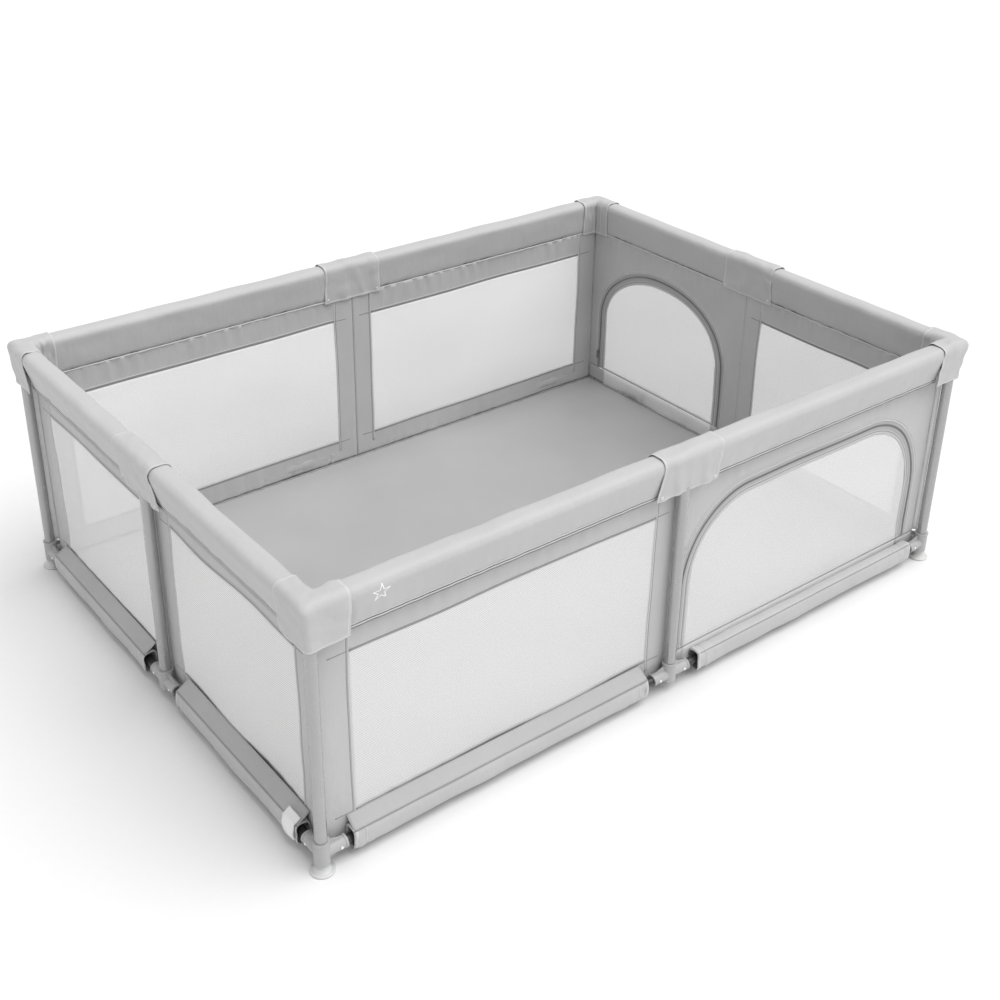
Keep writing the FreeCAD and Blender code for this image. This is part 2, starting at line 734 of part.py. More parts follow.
# ---- the pen ----
def frame_nodes():
    nodes = {}
    for corner in CORNERS:
        nodes[f"corner_post_{corner}"] = at_corner(corner, post())
        nodes[f"bottom_corner_connector_{corner}"] = at_corner(corner, bottom_corner_connector())
        nodes[f"suction_foot_{corner}"] = at_corner(corner, suction_foot())
    for side in SIDES:
        nodes[f"mid_post_{side}"] = on_side(side, post())
        nodes[f"bottom_rails_{side}"] = group(bay_rails(side, BOTTOM_RAIL_HEIGHT, True))
        nodes[f"snap_buttons_{side}"] = group([on_side(side, snap_button(x)) for x in button_places(side)])
    tops = [rail for side in SIDES for rail in bay_rails(side, top_rail_height, False)]
    nodes["top_rail_tubes"] = group(tops)
    corner_hub = top_connector((V(1, 0, 0), V(0, 1, 0)))
    nodes["top_corner_connectors"] = group([at_corner(c, corner_hub) for c in CORNERS])
    tee_hub = top_connector((V(1, 0, 0), V(-1, 0, 0)))
    nodes["top_tee_connectors"] = group([on_side(s, tee_hub) for s in SIDES])
    nodes["bottom_tee_connectors"] = group([on_side(s, bottom_tee_connector()) for s in SIDES])
    return nodes


def fabric_nodes():
    nodes = {}
    pads = []
    sleeves = []
    for side in SIDES:
        pads += [on_side(side, foam_pad(*s)) for s in bay_spans(side, foam_from_post, foam_from_post)]
        covers = [rail_cover(*s) for s in bay_spans(side, cover_from_post, cover_from_post)]
        nodes[f"rail_covers_{side}"] = group([on_side(side, c) for c in covers])
        nodes[f"mid_wrap_{side}"] = on_side(side, mid_wrap())
        nodes[f"wall_fabric_{side}"] = wall_fabric(side)
        nodes[f"window_mesh_{side}"] = window_mesh(side)
        spans = bay_spans(side, sleeve_from_corner, sleeve_from_mid)
        sleeves += [on_side(side, rail_sleeve(*s)) for s in spans]
    for corner in CORNERS:
        nodes[f"corner_wrap_{corner}"] = at_corner(corner, corner_wrap())
    nodes["rail_foam_pads"] = group(pads)
    nodes["rail_sleeves"] = group(sleeves)
    nodes["floor_sheet"] = floor_sheet()
    nodes["care_label"] = care_label()
    return nodes


def door_nodes():
    nodes = {}
    for side, name in DOOR_NAMES.items():
        nodes[f"{name}_door_flap"] = door_flap(side)
        nodes[f"{name}_zip_slider"] = zip_slider(side)
        nodes[f"{name}_zip_pull"] = zip_pull(side)
    nodes["zip_tapes"] = group([zip_tape(side) for side in DOOR_NAMES])
    return nodes


def main():
    os.makedirs("parts", exist_ok=True)
    nodes = {**frame_nodes(), **fabric_nodes(), **door_nodes()}
    for name, shape in nodes.items():
        shape.exportStep(f"parts/{name}.step")
        print(name, len(shape.Solids), "solids", "valid" if shape.isValid() else "NOT VALID")
    print(len(nodes), "nodes")


main()
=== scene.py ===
import math

import bmesh
import bpy
import numpy as np
from mathutils import Matrix, Vector


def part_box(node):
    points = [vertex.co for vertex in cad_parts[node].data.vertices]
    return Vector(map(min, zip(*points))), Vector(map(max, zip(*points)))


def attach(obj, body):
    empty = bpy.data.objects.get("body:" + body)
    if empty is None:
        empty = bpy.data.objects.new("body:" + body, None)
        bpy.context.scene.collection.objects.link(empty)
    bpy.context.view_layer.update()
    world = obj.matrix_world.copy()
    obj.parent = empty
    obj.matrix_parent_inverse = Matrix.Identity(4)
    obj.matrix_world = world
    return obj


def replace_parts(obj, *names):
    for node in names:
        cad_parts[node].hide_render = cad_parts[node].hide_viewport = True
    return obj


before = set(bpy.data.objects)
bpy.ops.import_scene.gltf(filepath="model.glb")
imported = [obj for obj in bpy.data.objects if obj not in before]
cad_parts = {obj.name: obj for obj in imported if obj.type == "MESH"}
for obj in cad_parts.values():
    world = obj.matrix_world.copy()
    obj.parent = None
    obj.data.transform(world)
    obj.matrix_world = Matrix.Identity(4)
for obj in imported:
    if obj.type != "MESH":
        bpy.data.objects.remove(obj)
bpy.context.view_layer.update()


# ---- places taken from the frame ----
def ends(node, axis):
    """The lowest and highest place of a CAD node along one axis."""
    low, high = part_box(node)
    return low[axis], high[axis]


def middle(node, axis):
    """The middle of a CAD node along one axis."""
    return sum(ends(node, axis)) / 2


def half_size(node, axis):
    """Half a CAD node's size along one axis."""
    low, high = ends(node, axis)
    return (high - low) / 2


HALF_LENGTH = middle("corner_post_front_right", 0)
HALF_WIDTH = middle("corner_post_back_right", 1)
COVER_FROM_POST = HALF_LENGTH - ends("rail_covers_front", 0)[1]
COVER_BOTTOM, COVER_TOP = ends("rail_covers_front", 2)
COVER_HALF = half_size("rail_covers_front", 1)
WRAP_BOTTOM = ends("mid_wrap_front", 2)[0]
WRAP_HALF = half_size("mid_wrap_front", 1)
WRAP_REACH = ends("mid_wrap_front", 0)[1]
CORNER_REACH = ends("corner_wrap_front_left", 0)[1] + HALF_LENGTH
WALL_INSET = middle("wall_fabric_front", 1) + HALF_WIDTH
WALL_BOTTOM = ends("wall_fabric_front", 2)[0]
WINDOW_BOTTOM, WINDOW_TOP = ends("window_mesh_front", 2)
WINDOW_FROM_MID = -ends("window_mesh_front", 0)[1]
WINDOW_FROM_CORNER = HALF_LENGTH + ends("window_mesh_front", 0)[0]
SLEEVE_BOTTOM, SLEEVE_TOP = ends("rail_sleeves", 2)
SLEEVE_HALF = ends("rail_sleeves", 1)[1] - HALF_WIDTH
FLOOR_TOP = ends("floor_sheet", 2)[1]
FLAP_SILL, FLAP_EDGE = ends("front_door_flap", 2)

# ---- sizes of the sewn work ----
CLOTH = 0.0012
MESH_CLOTH = 0.0008
FLAP_BORDER = 0.026
FLAP_GAP = 0.0006
DOOR_TOP = FLAP_EDGE - FLAP_BORDER + FLAP_GAP
SILL = FLAP_SILL - FLAP_GAP
WALL_EDGE = FLAP_BORDER + FLAP_GAP
FLAP_RIM = FLAP_BORDER - FLAP_GAP
# A door's netting starts at mid from the side's middle; round and rise are its upper ovals' half sizes, where
# no round means half the door's width; the zip is on the face that zip_face turns to, outwards or inwards.
FRONT_DOOR = {
    "mid": 0.065, "round": 0.190, "rise": 0.205, "zip_face": -1, "slider": middle("front_zip_slider", 0)
}
SIDE_DOOR = {
    "mid": 0.100, "round": None, "rise": 0.185, "zip_face": 1, "slider": middle("side_zip_slider", 1)
}
SLEEVE_FROM_CORNER = 0.070
SLEEVE_FROM_MID = 0.084
GRID = 0.008
TRIM_STEP = 0.012
SECTION_STEP = 0.005

# Bindings and tapes that are carried along an edge: wide across it, thick, and squared at their corners.
BINDING = {"wide": 0.0070, "thick": 0.0022, "sides": 10, "square": 0.6}
WRAP_BINDING = {**BINDING, "wide": 0.0075}
SILL_BINDING = {**BINDING, "wide": 0.0060}
ZIP_TAPE = {"wide": 0.0110, "thick": 0.0012, "sides": 10, "square": 0.5}

SIDES = {
    "front": {"turn": 0, "half": HALF_LENGTH, "out": HALF_WIDTH, "seed": 11},
    "right": {"turn": 1, "half": HALF_WIDTH, "out": HALF_LENGTH, "seed": 23},
    "back": {"turn": 2, "half": HALF_LENGTH, "out": HALF_WIDTH, "seed": 37},
    "left": {"turn": 3, "half": HALF_WIDTH, "out": HALF_LENGTH, "seed": 41},
}
DOORS = {"front": FRONT_DOOR, "right": SIDE_DOOR}
DOOR_NAMES = {"front": "front", "right": "side"}
BAYS = {"near": -1, "far": 1}


def quarter_turned(p, turns):
    """Points turned about the upright axis by a number of quarter turns: each turn takes x, y to -y, x."""
    x, y, z = p[..., 0], p[..., 1], p[..., 2]
    for _ in range(turns):
        x, y = -y, x
    return np.stack([x, y, z], axis=-1)


def on_side(side, p):
    """Points of a side's own frame moved out to its posts' line and turned into the pen's frame."""
    s = SIDES[side]
    moved = p - np.array([0.0, s["out"], 0.0])
    return quarter_turned(moved, s["turn"])


def smooth(t):
    """An S-curve from 0 to 1: 3 t squared less 2 t cubed, with t held between 0 and 1."""
    t = np.clip(t, 0.0, 1.0)
    return t * t * (3 - 2 * t)


def unevenness(u, v, seed, length, waves=7):
    """Soft rise and fall of about 1: a sum of sine waves of drawn direction, phase and length."""
    draw = np.random.default_rng(seed)
    total = np.zeros(np.broadcast(u, v).shape)
    for _ in range(waves):
        angle, phase = draw.uniform(0, np.pi), draw.uniform(0, 2 * np.pi)
        pitch = 2 * np.pi / (length * draw.uniform(0.6, 1.7))
        total = total + np.sin(pitch * (u * np.cos(angle) + v * np.sin(angle)) + phase)
    return total / np.sqrt(waves)


def pleats(u, seed, length, waves=6):
    """Uneven folds across one direction: a sum of sine waves of drawn phase and length."""
    draw = np.random.default_rng(seed)
    total = 0.0
    for _ in range(waves):
        total = total + np.sin(2 * np.pi * u / (length * draw.uniform(0.6, 1.8)) + draw.uniform(0, 2 * np.pi))
    return total / np.sqrt(waves)


def spaced(*marks, step=GRID):
    """Places from the first mark to the last that hit every mark and lie about a step apart between them."""
    runs = []
    for a, b in zip(marks, marks[1:]):
        count = max(2, int(round(abs(b - a) / step)) + 1)
        runs.append(np.linspace(a, b, count)[:-1])
    return np.concatenate(runs + [[marks[-1]]])


def lengths(p):
    """The distance run along a line of points, from its start."""
    steps = np.linalg.norm(np.diff(p, axis=0), axis=1)
    return np.concatenate([[0.0], np.cumsum(steps)])


def doubled_ends(count):
    """The rows of a tube with its first and last given twice, so that both ends can be drawn to a point."""
    return np.concatenate([[0], np.arange(count), [count - 1]])


def squarish(turn, power):
    """Cosines and sines of a squarer round: each keeps its sign and is raised to a power below 1."""
    c, s = np.cos(turn), np.sin(turn)
    return np.sign(c) * np.abs(c) ** power, np.sign(s) * np.abs(s) ** power


def evenly(p, step):
    """A line of points put again at even distances along itself."""
    run = lengths(p)
    count = max(2, int(round(run[-1] / step)) + 1)
    at = np.linspace(0, run[-1], count)
    return np.stack([np.interp(at, run, p[:, k]) for k in range(p.shape[1])], axis=1)


# ---- meshes ----
class Work:
    """Grids of points gathered into one mesh, with a map in metres along and across each grid."""

    def __init__(self):
        self.points, self.quads, self.maps = [], [], []
        self.count = 0

    def grid(self, p, along, across, around=False, keep=None):
        """Quads between neighbouring rows and columns; around joins the last column to the first. Along and
        across are the map's places of the rows and columns, or of every point."""
        rows, cols = p.shape[:2]
        index = self.count + np.arange(rows * cols).reshape(rows, cols)
        wide = np.concatenate([index, index[:, :1]], axis=1) if around else index
        if np.ndim(along) == 1:
            along, across = np.meshgrid(along, across, indexing="ij")
        flat = np.stack([along, across], axis=-1)
        quads = np.stack([wide[:-1, :-1], wide[1:, :-1], wide[1:, 1:], wide[:-1, 1:]], axis=-1)
        maps = np.stack([flat[:-1, :-1], flat[1:, :-1], flat[1:, 1:], flat[:-1, 1:]], axis=-2)
        keep = np.ones(quads.shape[:2], bool) if keep is None else keep
        self.points.append(p.reshape(-1, 3))
        self.quads.append(quads[keep])
        self.maps.append(maps[keep])
        self.count += rows * cols
        return self

    def strip(self, path, normal, wide, thick, sides=8, square=1.0, swell=None):
        """A cord or tape carried along a path and closed at its ends. Its section is an oval, squarer as
        square falls below 1, thick along the normal and wide across it; swell scales it at each point."""
        path = np.asarray(path, float)
        normal = np.broadcast_to(np.asarray(normal, float), path.shape)
        tangent = np.gradient(path, axis=0)
        across = np.cross(tangent, normal)
        across /= np.linalg.norm(across, axis=1, keepdims=True)
        upright = np.cross(across, tangent)
        upright /= np.linalg.norm(upright, axis=1, keepdims=True)
        c, s = squarish(np.linspace(0, 2 * np.pi, sides, endpoint=False), square)
        swell = np.ones(len(path)) if swell is None else swell
        swell = np.concatenate([[0.0], swell, [0.0]])[:, None, None]
        pad = doubled_ends(len(path))
        offset = across[pad][:, None] * (wide / 2 * s)[None, :, None]
        offset = offset + upright[pad][:, None] * (thick / 2 * c)[None, :, None]
        ring = path[pad][:, None] + offset * swell
        run = lengths(path)[pad]
        return self.grid(ring, run, np.linspace(0, wide * 2, sides + 1), around=True)

    def build(self, name, material, body="frame", slot=None):
        """The gathered grids as one object that rides on a body."""
        mesh = bpy.data.meshes.new(name)
        points = np.concatenate(self.points)
        quads = np.concatenate(self.quads)
        mesh.vertices.add(len(points))
        mesh.vertices.foreach_set("co", points.astype(np.float32).ravel())
        mesh.loops.add(quads.size)
        mesh.loops.foreach_set("vertex_index", quads.astype(np.int32).ravel())
        mesh.polygons.add(len(quads))
        mesh.polygons.foreach_set("loop_start", np.arange(0, quads.size, 4, dtype=np.int32))
        mesh.polygons.foreach_set("loop_total", np.full(len(quads), 4, np.int32))
        layer = mesh.uv_layers.new(name="cloth")
        layer.data.foreach_set("uv", np.concatenate(self.maps).astype(np.float32).ravel())
        mesh.update(calc_edges=True)
        mesh.polygons.foreach_set("use_smooth", np.ones(len(quads), bool))
        piece = bpy.data.objects.new(name, mesh)
        bpy.context.scene.collection.objects.link(piece)
        merged(mesh)
        mesh.materials.append(material)
        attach(piece, body)
        return piece


def merged(mesh):
    """Joins points that lie on each other and turns every face outwards."""
    work = bmesh.new()
    work.from_mesh(mesh)
    bmesh.ops.remove_doubles(work, verts=work.verts, dist=1e-6)
    bmesh.ops.dissolve_degenerate(work, edges=work.edges, dist=1e-7)
    bmesh.ops.recalc_face_normals(work, faces=work.faces)
    work.to_mesh(mesh)
    work.free()


def thickened(piece, thickness):
    """Gives a sheet its cloth's thickness, half on each face."""
    solid = piece.modifiers.new("cloth thickness", "SOLIDIFY")
    solid.thickness = thickness
    solid.offset = 0.0
    solid.use_even_offset = False


# ---- materials ----
class Value:
    """A socket of a material, used in sums and products."""

    def __init__(self, paint, socket):
        self.paint, self.socket = paint, socket

    def __add__(self, other):
        return self.paint.maths("ADD", self, other)

    __radd__ = __add__

    def __sub__(self, other):
        return self.paint.maths("SUBTRACT", self, other)

    def __rsub__(self, other):
        return self.paint.maths("SUBTRACT", other, self)

    def __mul__(self, other):
        return self.paint.maths("MULTIPLY", self, other)

    __rmul__ = __mul__

    def __lt__(self, other):
        return self.paint.maths("LESS_THAN", self, other)

    def __gt__(self, other):
        return self.paint.maths("GREATER_THAN", self, other)

    def __abs__(self):
        return self.paint.maths("ABSOLUTE", self)


class Paint:
    """A material whose shader is fed by named patterns."""

    def __init__(self, name):
        self.material = bpy.data.materials.new(name)
        self.material.use_nodes = True
        self.tree = self.material.node_tree
        self.shader = self.tree.nodes["Principled BSDF"]

    def node(self, kind, settings, values, output=0):
        """Adds a node, sets it, fills its sockets with numbers or links, and gives one of its outputs."""
        made = self.tree.nodes.new(kind)
        for key, value in settings.items():
            setattr(made, key, value)
        for key, value in values.items():
            self.feed(made.inputs[key], value)
        return Value(self, made.outputs[output])

    def maths(self, operation, *values):
        return self.node("ShaderNodeMath", {"operation": operation}, dict(enumerate(values)))

    def feed(self, socket, value):
        if isinstance(value, Value):
            self.tree.links.new(value.socket, socket)
        else:
            socket.default_value = value

    def shade(self, **sockets):
        """Fills the shader's sockets, whose names are written with _ for a space."""
        for key, value in sockets.items():
            self.feed(self.shader.inputs[key.replace("_", " ")], value)
        return self.material

    def place(self):
        return self.node("ShaderNodeTexCoord", {}, {}, "Object")

    def cloth_map(self):
        return self.node("ShaderNodeUVMap", {"uv_map": "cloth"}, {})

    def noise(self, vector, scale, detail=3.0, roughness=0.5, stretch=None):
        if stretch is not None:
            vector = self.node("ShaderNodeMapping", {}, {"Vector": vector, "Scale": stretch})
        values = {"Vector": vector, "Scale": scale, "Detail": detail, "Roughness": roughness}
        return self.node("ShaderNodeTexNoise", {}, values)

    def part(self, vector, axis):
        return self.node("ShaderNodeSeparateXYZ", {}, {"Vector": vector}, axis)

    def sine(self, value):
        return self.maths("SINE", value)

    def weave(self, u, v, pitch):
        """Threads that go over and under: the sine of one way times the sine of the other."""
        turns = 2 * math.pi / pitch
        return self.sine(u * turns) * self.sine(v * turns)

    def spread(self, value, low, high):
        """A value from 0 to 1 taken to low and high."""
        return value * (high - low) + low

    def mix(self, factor, first, second):
        """A colour between two others; 0, 6 and 7 are the node's factor and its two colours."""
        return self.node("ShaderNodeMix", {"data_type": "RGBA"}, {0: factor, 6: first, 7: second}, 2)

    def bump(self, height, strength, distance, normal=None):
        values = {"Height": height, "Strength": strength, "Distance": distance}
        if normal is not None:
            values["Normal"] = normal
        return self.node("ShaderNodeBump", {}, values)


def grey(level):
    """An opaque grey."""
    return (level, level, level, 1.0)


THREAD = 0.0011
DEPTH_SHARE = 0.73
STITCH_HALF_LINE = 0.0011


def oxford(name, level, mapped=True, crinkle=0.6, roughness=(0.52, 0.68), mark=None):
    """Coated oxford cloth: a basket weave of fat threads, cloudy tone, faint creases and a soft sheen. Where
    it isn't mapped, height and a share of depth give the weave's second way, so that no face stays plain."""
    paint = Paint(name)
    where = paint.cloth_map() if mapped else paint.place()
    spot = paint.place()
    u = paint.part(where, 0)
    v = paint.part(where, 1) if mapped else paint.part(where, 2) + paint.part(where, 1) * DEPTH_SHARE
    weave = paint.weave(u, v, THREAD)
    slub = paint.noise(where, 900.0, 1.0, stretch=(1.0, 0.12, 1.0))
    clouds = paint.noise(spot, 5.0, 4.0, 0.55)
    creases = paint.noise(spot, 26.0, 4.0, 0.62, stretch=(1.0, 1.0, 0.40))
    tone = paint.spread(clouds, -0.5, 0.5) + weave * 0.10 + (slub - 0.5) * 0.35
    colour = paint.mix(tone + 0.5, grey(level * 0.92), grey(level * 1.08))
    if mark is not None:
        colour = paint.mix(mark(paint), colour, grey(0.92))
    fine = paint.bump(weave * 0.5 + slub * 0.6, 0.12, 0.0003)
    bump = paint.bump(creases, crinkle, 0.0050, fine)
    rough = paint.spread(clouds * 0.6 + creases * 0.4, *roughness)
    return paint.shade(
        Base_Color=colour, Roughness=rough, Normal=bump, Sheen_Weight=0.18, Sheen_Roughness=0.45, IOR=1.46
    )


STAR = {"x": -0.845, "z": 0.648, "size": 0.021, "line": 0.0021}


def star_mark(paint):
    """A plain five-pointed star drawn in outline: the folded angle about its middle gives five straight
    edges, and the mark is where the distance from them is under half the line's width."""
    where = paint.place()
    x = paint.part(where, 0) - STAR["x"]
    z = paint.part(where, 2) - STAR["z"]
    angle = paint.maths("ARCTAN2", x, z)
    sector = 2 * math.pi / 5
    folded = paint.maths("PINGPONG", angle + 2 * math.pi, sector / 2)
    reach = paint.maths("SQRT", x * x + z * z)
    across = reach * paint.sine(folded)
    along = reach * paint.sine(folded + math.pi / 2)
    lean = math.radians(18)
    edge = along * math.sin(lean) + across * math.cos(lean) - STAR["size"] * math.sin(lean)
    front = paint.part(where, 1) < -HALF_WIDTH
    return (abs(edge) < STAR["line"] / 2) * (reach < STAR["size"] * 1.03) * front


def stitched(name, level, rows=(0.25, 0.75), width=0.009, stitch=0.0032):
    """A folded binding with rows of stitches: short pale dashes along the tape, each sunk into the cloth."""
    paint = Paint(name)
    where = paint.cloth_map()
    u, v = paint.part(where, 0), paint.part(where, 1)
    weave = paint.weave(u, v, THREAD)
    clouds = paint.noise(paint.place(), 9.0, 3.0)
    dash = paint.sine(u * (2 * math.pi / stitch)) > -0.2
    lines = [(abs(v - row * width * 2) < STITCH_HALF_LINE) * dash for row in rows]
    thread = sum(lines[1:], lines[0])
    tone = paint.spread(clouds, 0.2, 0.8) + weave * 0.08
    cloth = paint.mix(tone, grey(level * 0.94), grey(level * 1.06))
    colour = paint.mix(thread * 0.55, cloth, grey(0.80))
    bump = paint.bump(weave * 0.4 - thread * 0.9, 0.25, 0.0006)
    roughness = paint.spread(clouds, 0.5, 0.65)
    return paint.shade(Base_Color=colour, Roughness=roughness, Normal=bump, Sheen_Weight=0.15)


def netting(name, level, opening, pitch=0.0046):
    """Knitted mesh: staggered round openings between white threads, clear where the openings are, with a
    faint white glow that is painted light for the light shining through the net.
    """
    paint = Paint(name)
    where = paint.cloth_map()
    u, v = paint.part(where, 0), paint.part(where, 1)
    cells = paint.weave(u, v, pitch)
    knit = paint.noise(where, 240.0, 2.0)
    drift = paint.noise(paint.place(), 3.0, 3.0)
    cover = cells * 0.24 + paint.spread(knit, -0.06, 0.06) + paint.spread(drift, -0.03, 0.03) + (1 - opening)
    colour = paint.mix(paint.spread(knit, 0.2, 0.8) + cells * 0.15, grey(level * 0.93), grey(level))
    bump = paint.bump(cells, 0.25, 0.0006)
    # The white emission is painted light: a faint glow standing in for light that shines through the thin
    # net.
    return paint.shade(
        Base_Color=colour, Roughness=paint.spread(knit, 0.55, 0.75), Normal=bump, Alpha=cover,
        Emission_Color=grey(1.0), Emission_Strength=0.05,
    )


def satin_paint(name, level, metallic=0.25, rough=(0.26, 0.38), coat=0.25):
    """Powder paint on a tube: fine orange peel, cloudy gloss and a few dull scuffs."""
    paint = Paint(name)
    where = paint.place()
    peel = paint.noise(where, 900.0, 2.0)
    clouds = paint.noise(where, 12.0, 4.0, 0.6)
    scuffs = paint.noise(where, 60.0, 5.0, 0.7, stretch=(1.0, 1.0, 0.2))
    worn = paint.node("ShaderNodeMapRange", {}, {"Value": scuffs, "From Min": 0.62, "From Max": 0.72})
    colour = paint.mix(clouds, grey(level * 0.94), grey(level * 1.05))
    colour = paint.mix(worn * 0.25, colour, grey(level * 0.8))
    roughness = paint.spread(clouds, *rough) + worn * 0.15
    bump = paint.bump(peel, 0.05, 0.0003)
    return paint.shade(
        Base_Color=colour, Roughness=roughness, Normal=bump, Metallic=metallic, Coat_Weight=coat,
        Coat_Roughness=0.2,
    )


def moulded(name, level, rough=(0.38, 0.52), scatter=0.0):
    """Injection-moulded plastic: spark-eroded grain, slight flow clouds and rubbed spots."""
    paint = Paint(name)
    where = paint.place()
    grain = paint.noise(where, 1500.0, 2.0)
    clouds = paint.noise(where, 18.0, 4.0)
    rubbed = paint.noise(where, 90.0, 4.0, 0.65)
    tone = paint.spread(clouds, 0.1, 0.9) + (rubbed - 0.5) * 0.04 * 10
    colour = paint.mix(tone, grey(level * 0.95), grey(level * 1.05))
    bump = paint.bump(grain, 0.10, 0.0003)
    sockets = {"Base_Color": colour, "Roughness": paint.spread(rubbed, *rough), "Normal": bump}
    if scatter:
        sockets.update(Subsurface_Weight=scatter, Subsurface_Scale=0.006)
    return paint.shade(**sockets)


def brushed(name, level):
    """Cast zip metal, tumbled and lightly brushed."""
    paint = Paint(name)
    where = paint.place()
    lines = paint.noise(where, 500.0, 2.0, stretch=(1.0, 1.0, 0.1))
    clouds = paint.noise(where, 200.0, 3.0)
    colour = paint.mix(clouds, grey(level * 0.85), grey(level * 1.1))
    bump = paint.bump(lines, 0.08, 0.0002)
    return paint.shade(Base_Color=colour, Roughness=paint.spread(lines, 0.25, 0.4), Normal=bump, Metallic=1.0)


FABRIC_GREY = 0.50
shell_cloth = oxford("oxford wall cloth", FABRIC_GREY)
# A darker copy of the wall cloth for the lower border, which faces upwards and catches more light than the
# walls: painted shade that keeps it as dark as the sleeve.
border_shade_cloth = oxford("shaded oxford border cloth", FABRIC_GREY * 0.84)
sleeve_cloth = oxford("oxford sleeve cloth", FABRIC_GREY * 0.98, crinkle=0.5)
cover_cloth = oxford("oxford rail cloth", FABRIC_GREY, mapped=False, mark=star_mark)
wrap_cloth = oxford("oxford wrap cloth", FABRIC_GREY)
floor_cloth = oxford("oxford floor cloth", FABRIC_GREY * 0.77, crinkle=0.12, roughness=(0.45, 0.6))
binding_cloth = stitched("stitched binding", FABRIC_GREY * 1.06)
hem_cloth = stitched("stitched hem", FABRIC_GREY)
piping_cloth = oxford("piping cloth", FABRIC_GREY * 1.15, crinkle=0.1)
# A much darker copy of the oxford cloth for strips along each seam and join: painted shade, standing in for
# the shadow where cloth folds into a seam or one part overhangs another.
seam_shade_cloth = oxford("seam shadow cloth", FABRIC_GREY * 0.55, crinkle=0.2)
tape_cloth = stitched("zip tape", FABRIC_GREY * 0.78, rows=(0.3, 0.7), width=0.011)
tack_thread = stitched("bar tack thread", 0.66, rows=(0.2, 0.4, 0.6, 0.8), width=0.012, stitch=0.002)
window_net = netting("window netting", 0.84, 0.45)
door_net = netting("door netting", 0.84, 0.45)
coil_plastic = moulded("zip coil plastic", 0.20, rough=(0.3, 0.42))
label_cloth = oxford("label satin", 0.84, crinkle=0.2, roughness=(0.3, 0.42))
post_paint = satin_paint("satin grey tube paint", 0.40, metallic=0.45, rough=(0.2, 0.3), coat=0.5)
rail_paint = satin_paint("dark rail paint", 0.035, metallic=0.1)
connector_plastic = moulded("grey moulded plastic", 0.42)
foot_rubber = moulded("clear grey rubber", 0.62, rough=(0.22, 0.36), scatter=0.12)
button_paint = moulded("white button plastic", 0.82, rough=(0.25, 0.35))
zip_metal = brushed("zip metal", 0.42)
hidden_steel = brushed("plain tube steel", 0.5)


# ---- padded rail covers ----
def hull(rounds, larger):
    """The outline of a band drawn round circles of middle and radius, a little larger, as points at even
    steps in y and z. In each direction it touches the circle that reaches furthest: its middle plus its
    radius that way."""
    turn = np.linspace(-np.pi / 2, 1.5 * np.pi, 721)[:-1]
    way = np.stack([np.cos(turn), np.sin(turn)], axis=1)
    points = np.stack([np.array(centre) + (radius + larger) * way for centre, radius in rounds])
    first = np.argmax((points * way).sum(axis=2), axis=0)
    line = points[first, np.arange(len(way))]
    return evenly(np.concatenate([line, line[:1]]), SECTION_STEP)[:-1]


SHOULDER = 0.0165
SHOULDER_OUT = COVER_HALF - SHOULDER
SHOULDER_UP = COVER_TOP - SHOULDER
COVER_SEAM_HALF = 0.012
COVER_SEAM_AT = (0.009, COVER_BOTTOM + COVER_SEAM_HALF)
START_LARGER = 0.0004
SWELL_LIMIT = 0.0016
SWELL_FRAMES = 20
VOXEL = 0.006


def cover_form(start, end, seed):
    """A closed tube of the cover's section along x, waved all over and pleated low down, so that the cloth
    settles into soft folds: each point goes out from the section's middle by the waves and the pleats."""
    shoulders = [((way * SHOULDER_OUT, SHOULDER_UP), SHOULDER) for way in (-1, 1)]
    outline = hull(shoulders + [(COVER_SEAM_AT, COVER_SEAM_HALF)], START_LARGER)
    x = spaced(start, end, step=0.006)
    middle_point = outline.mean(axis=0)
    yz = np.broadcast_to(outline, (len(x),) + outline.shape)
    run = lengths(np.concatenate([outline, outline[:1]]))[:-1]
    waves = unevenness(x[:, None], run[None, :] * 1.5, seed, 0.16) * 0.0008
    low_down = smooth((COVER_TOP - 0.03 - yz[..., 1]) / 0.05)
    folds = pleats(x, seed + 1, 0.045)[:, None] * 0.0007 * low_down
    out = yz - middle_point
    out = out / np.linalg.norm(out, axis=2, keepdims=True)
    yz = yz + out * (waves + folds)[..., None]
    pad = doubled_ends(len(x))
    yz = yz[pad]
    yz[0], yz[-1] = middle_point, middle_point
    xx = np.broadcast_to(x[pad][:, None], yz.shape[:2])
    return np.concatenate([xx[..., None], yz], axis=2)


def points_of(mesh):
    """A mesh's points as rows of x, y and z."""
    co = np.zeros(len(mesh.vertices) * 3, np.float32)
    mesh.vertices.foreach_get("co", co)
    return co.reshape(-1, 3)


def swell(piece):
    """Remeshes a closed form and lets cloth under pressure swell it, no point moving more than the limit."""
    remesh = piece.modifiers.new("even skin", "REMESH")
    remesh.mode, remesh.voxel_size = "VOXEL", VOXEL
    apply_all(piece)
    start = points_of(piece.data)
    cloth = piece.modifiers.new("cloth", "CLOTH")
    cloth.settings.use_pressure = True
    cloth.settings.uniform_pressure_force = 4.0
    cloth.settings.effector_weights.gravity = 0.0
    cloth.settings.quality = 4
    cloth.point_cache.frame_start, cloth.point_cache.frame_end = 1, SWELL_FRAMES
    for step in range(1, SWELL_FRAMES + 1):
        bpy.context.scene.frame_set(step)
    apply_all(piece)
    bpy.context.scene.frame_set(1)
    moved = points_of(piece.data) - start
    far = np.linalg.norm(moved, axis=1, keepdims=True)
    moved = moved * np.minimum(1.0, SWELL_LIMIT / np.maximum(far, 1e-9))
    piece.data.vertices.foreach_set("co", (start + moved).ravel())
    piece.data.polygons.foreach_set("use_smooth", np.ones(len(piece.data.polygons), bool))
    piece.data.update()
    finer = piece.modifiers.new("finer", "SUBSURF")
    finer.levels = finer.render_levels = 1


def apply_all(piece):
    """Keeps what the modifiers make of a mesh and removes them."""
    seen = bpy.context.evaluated_depsgraph_get()
    mesh = bpy.data.meshes.new_from_object(piece.evaluated_get(seen))
    mesh.name = piece.data.name
    piece.modifiers.clear()
    piece.data = mesh


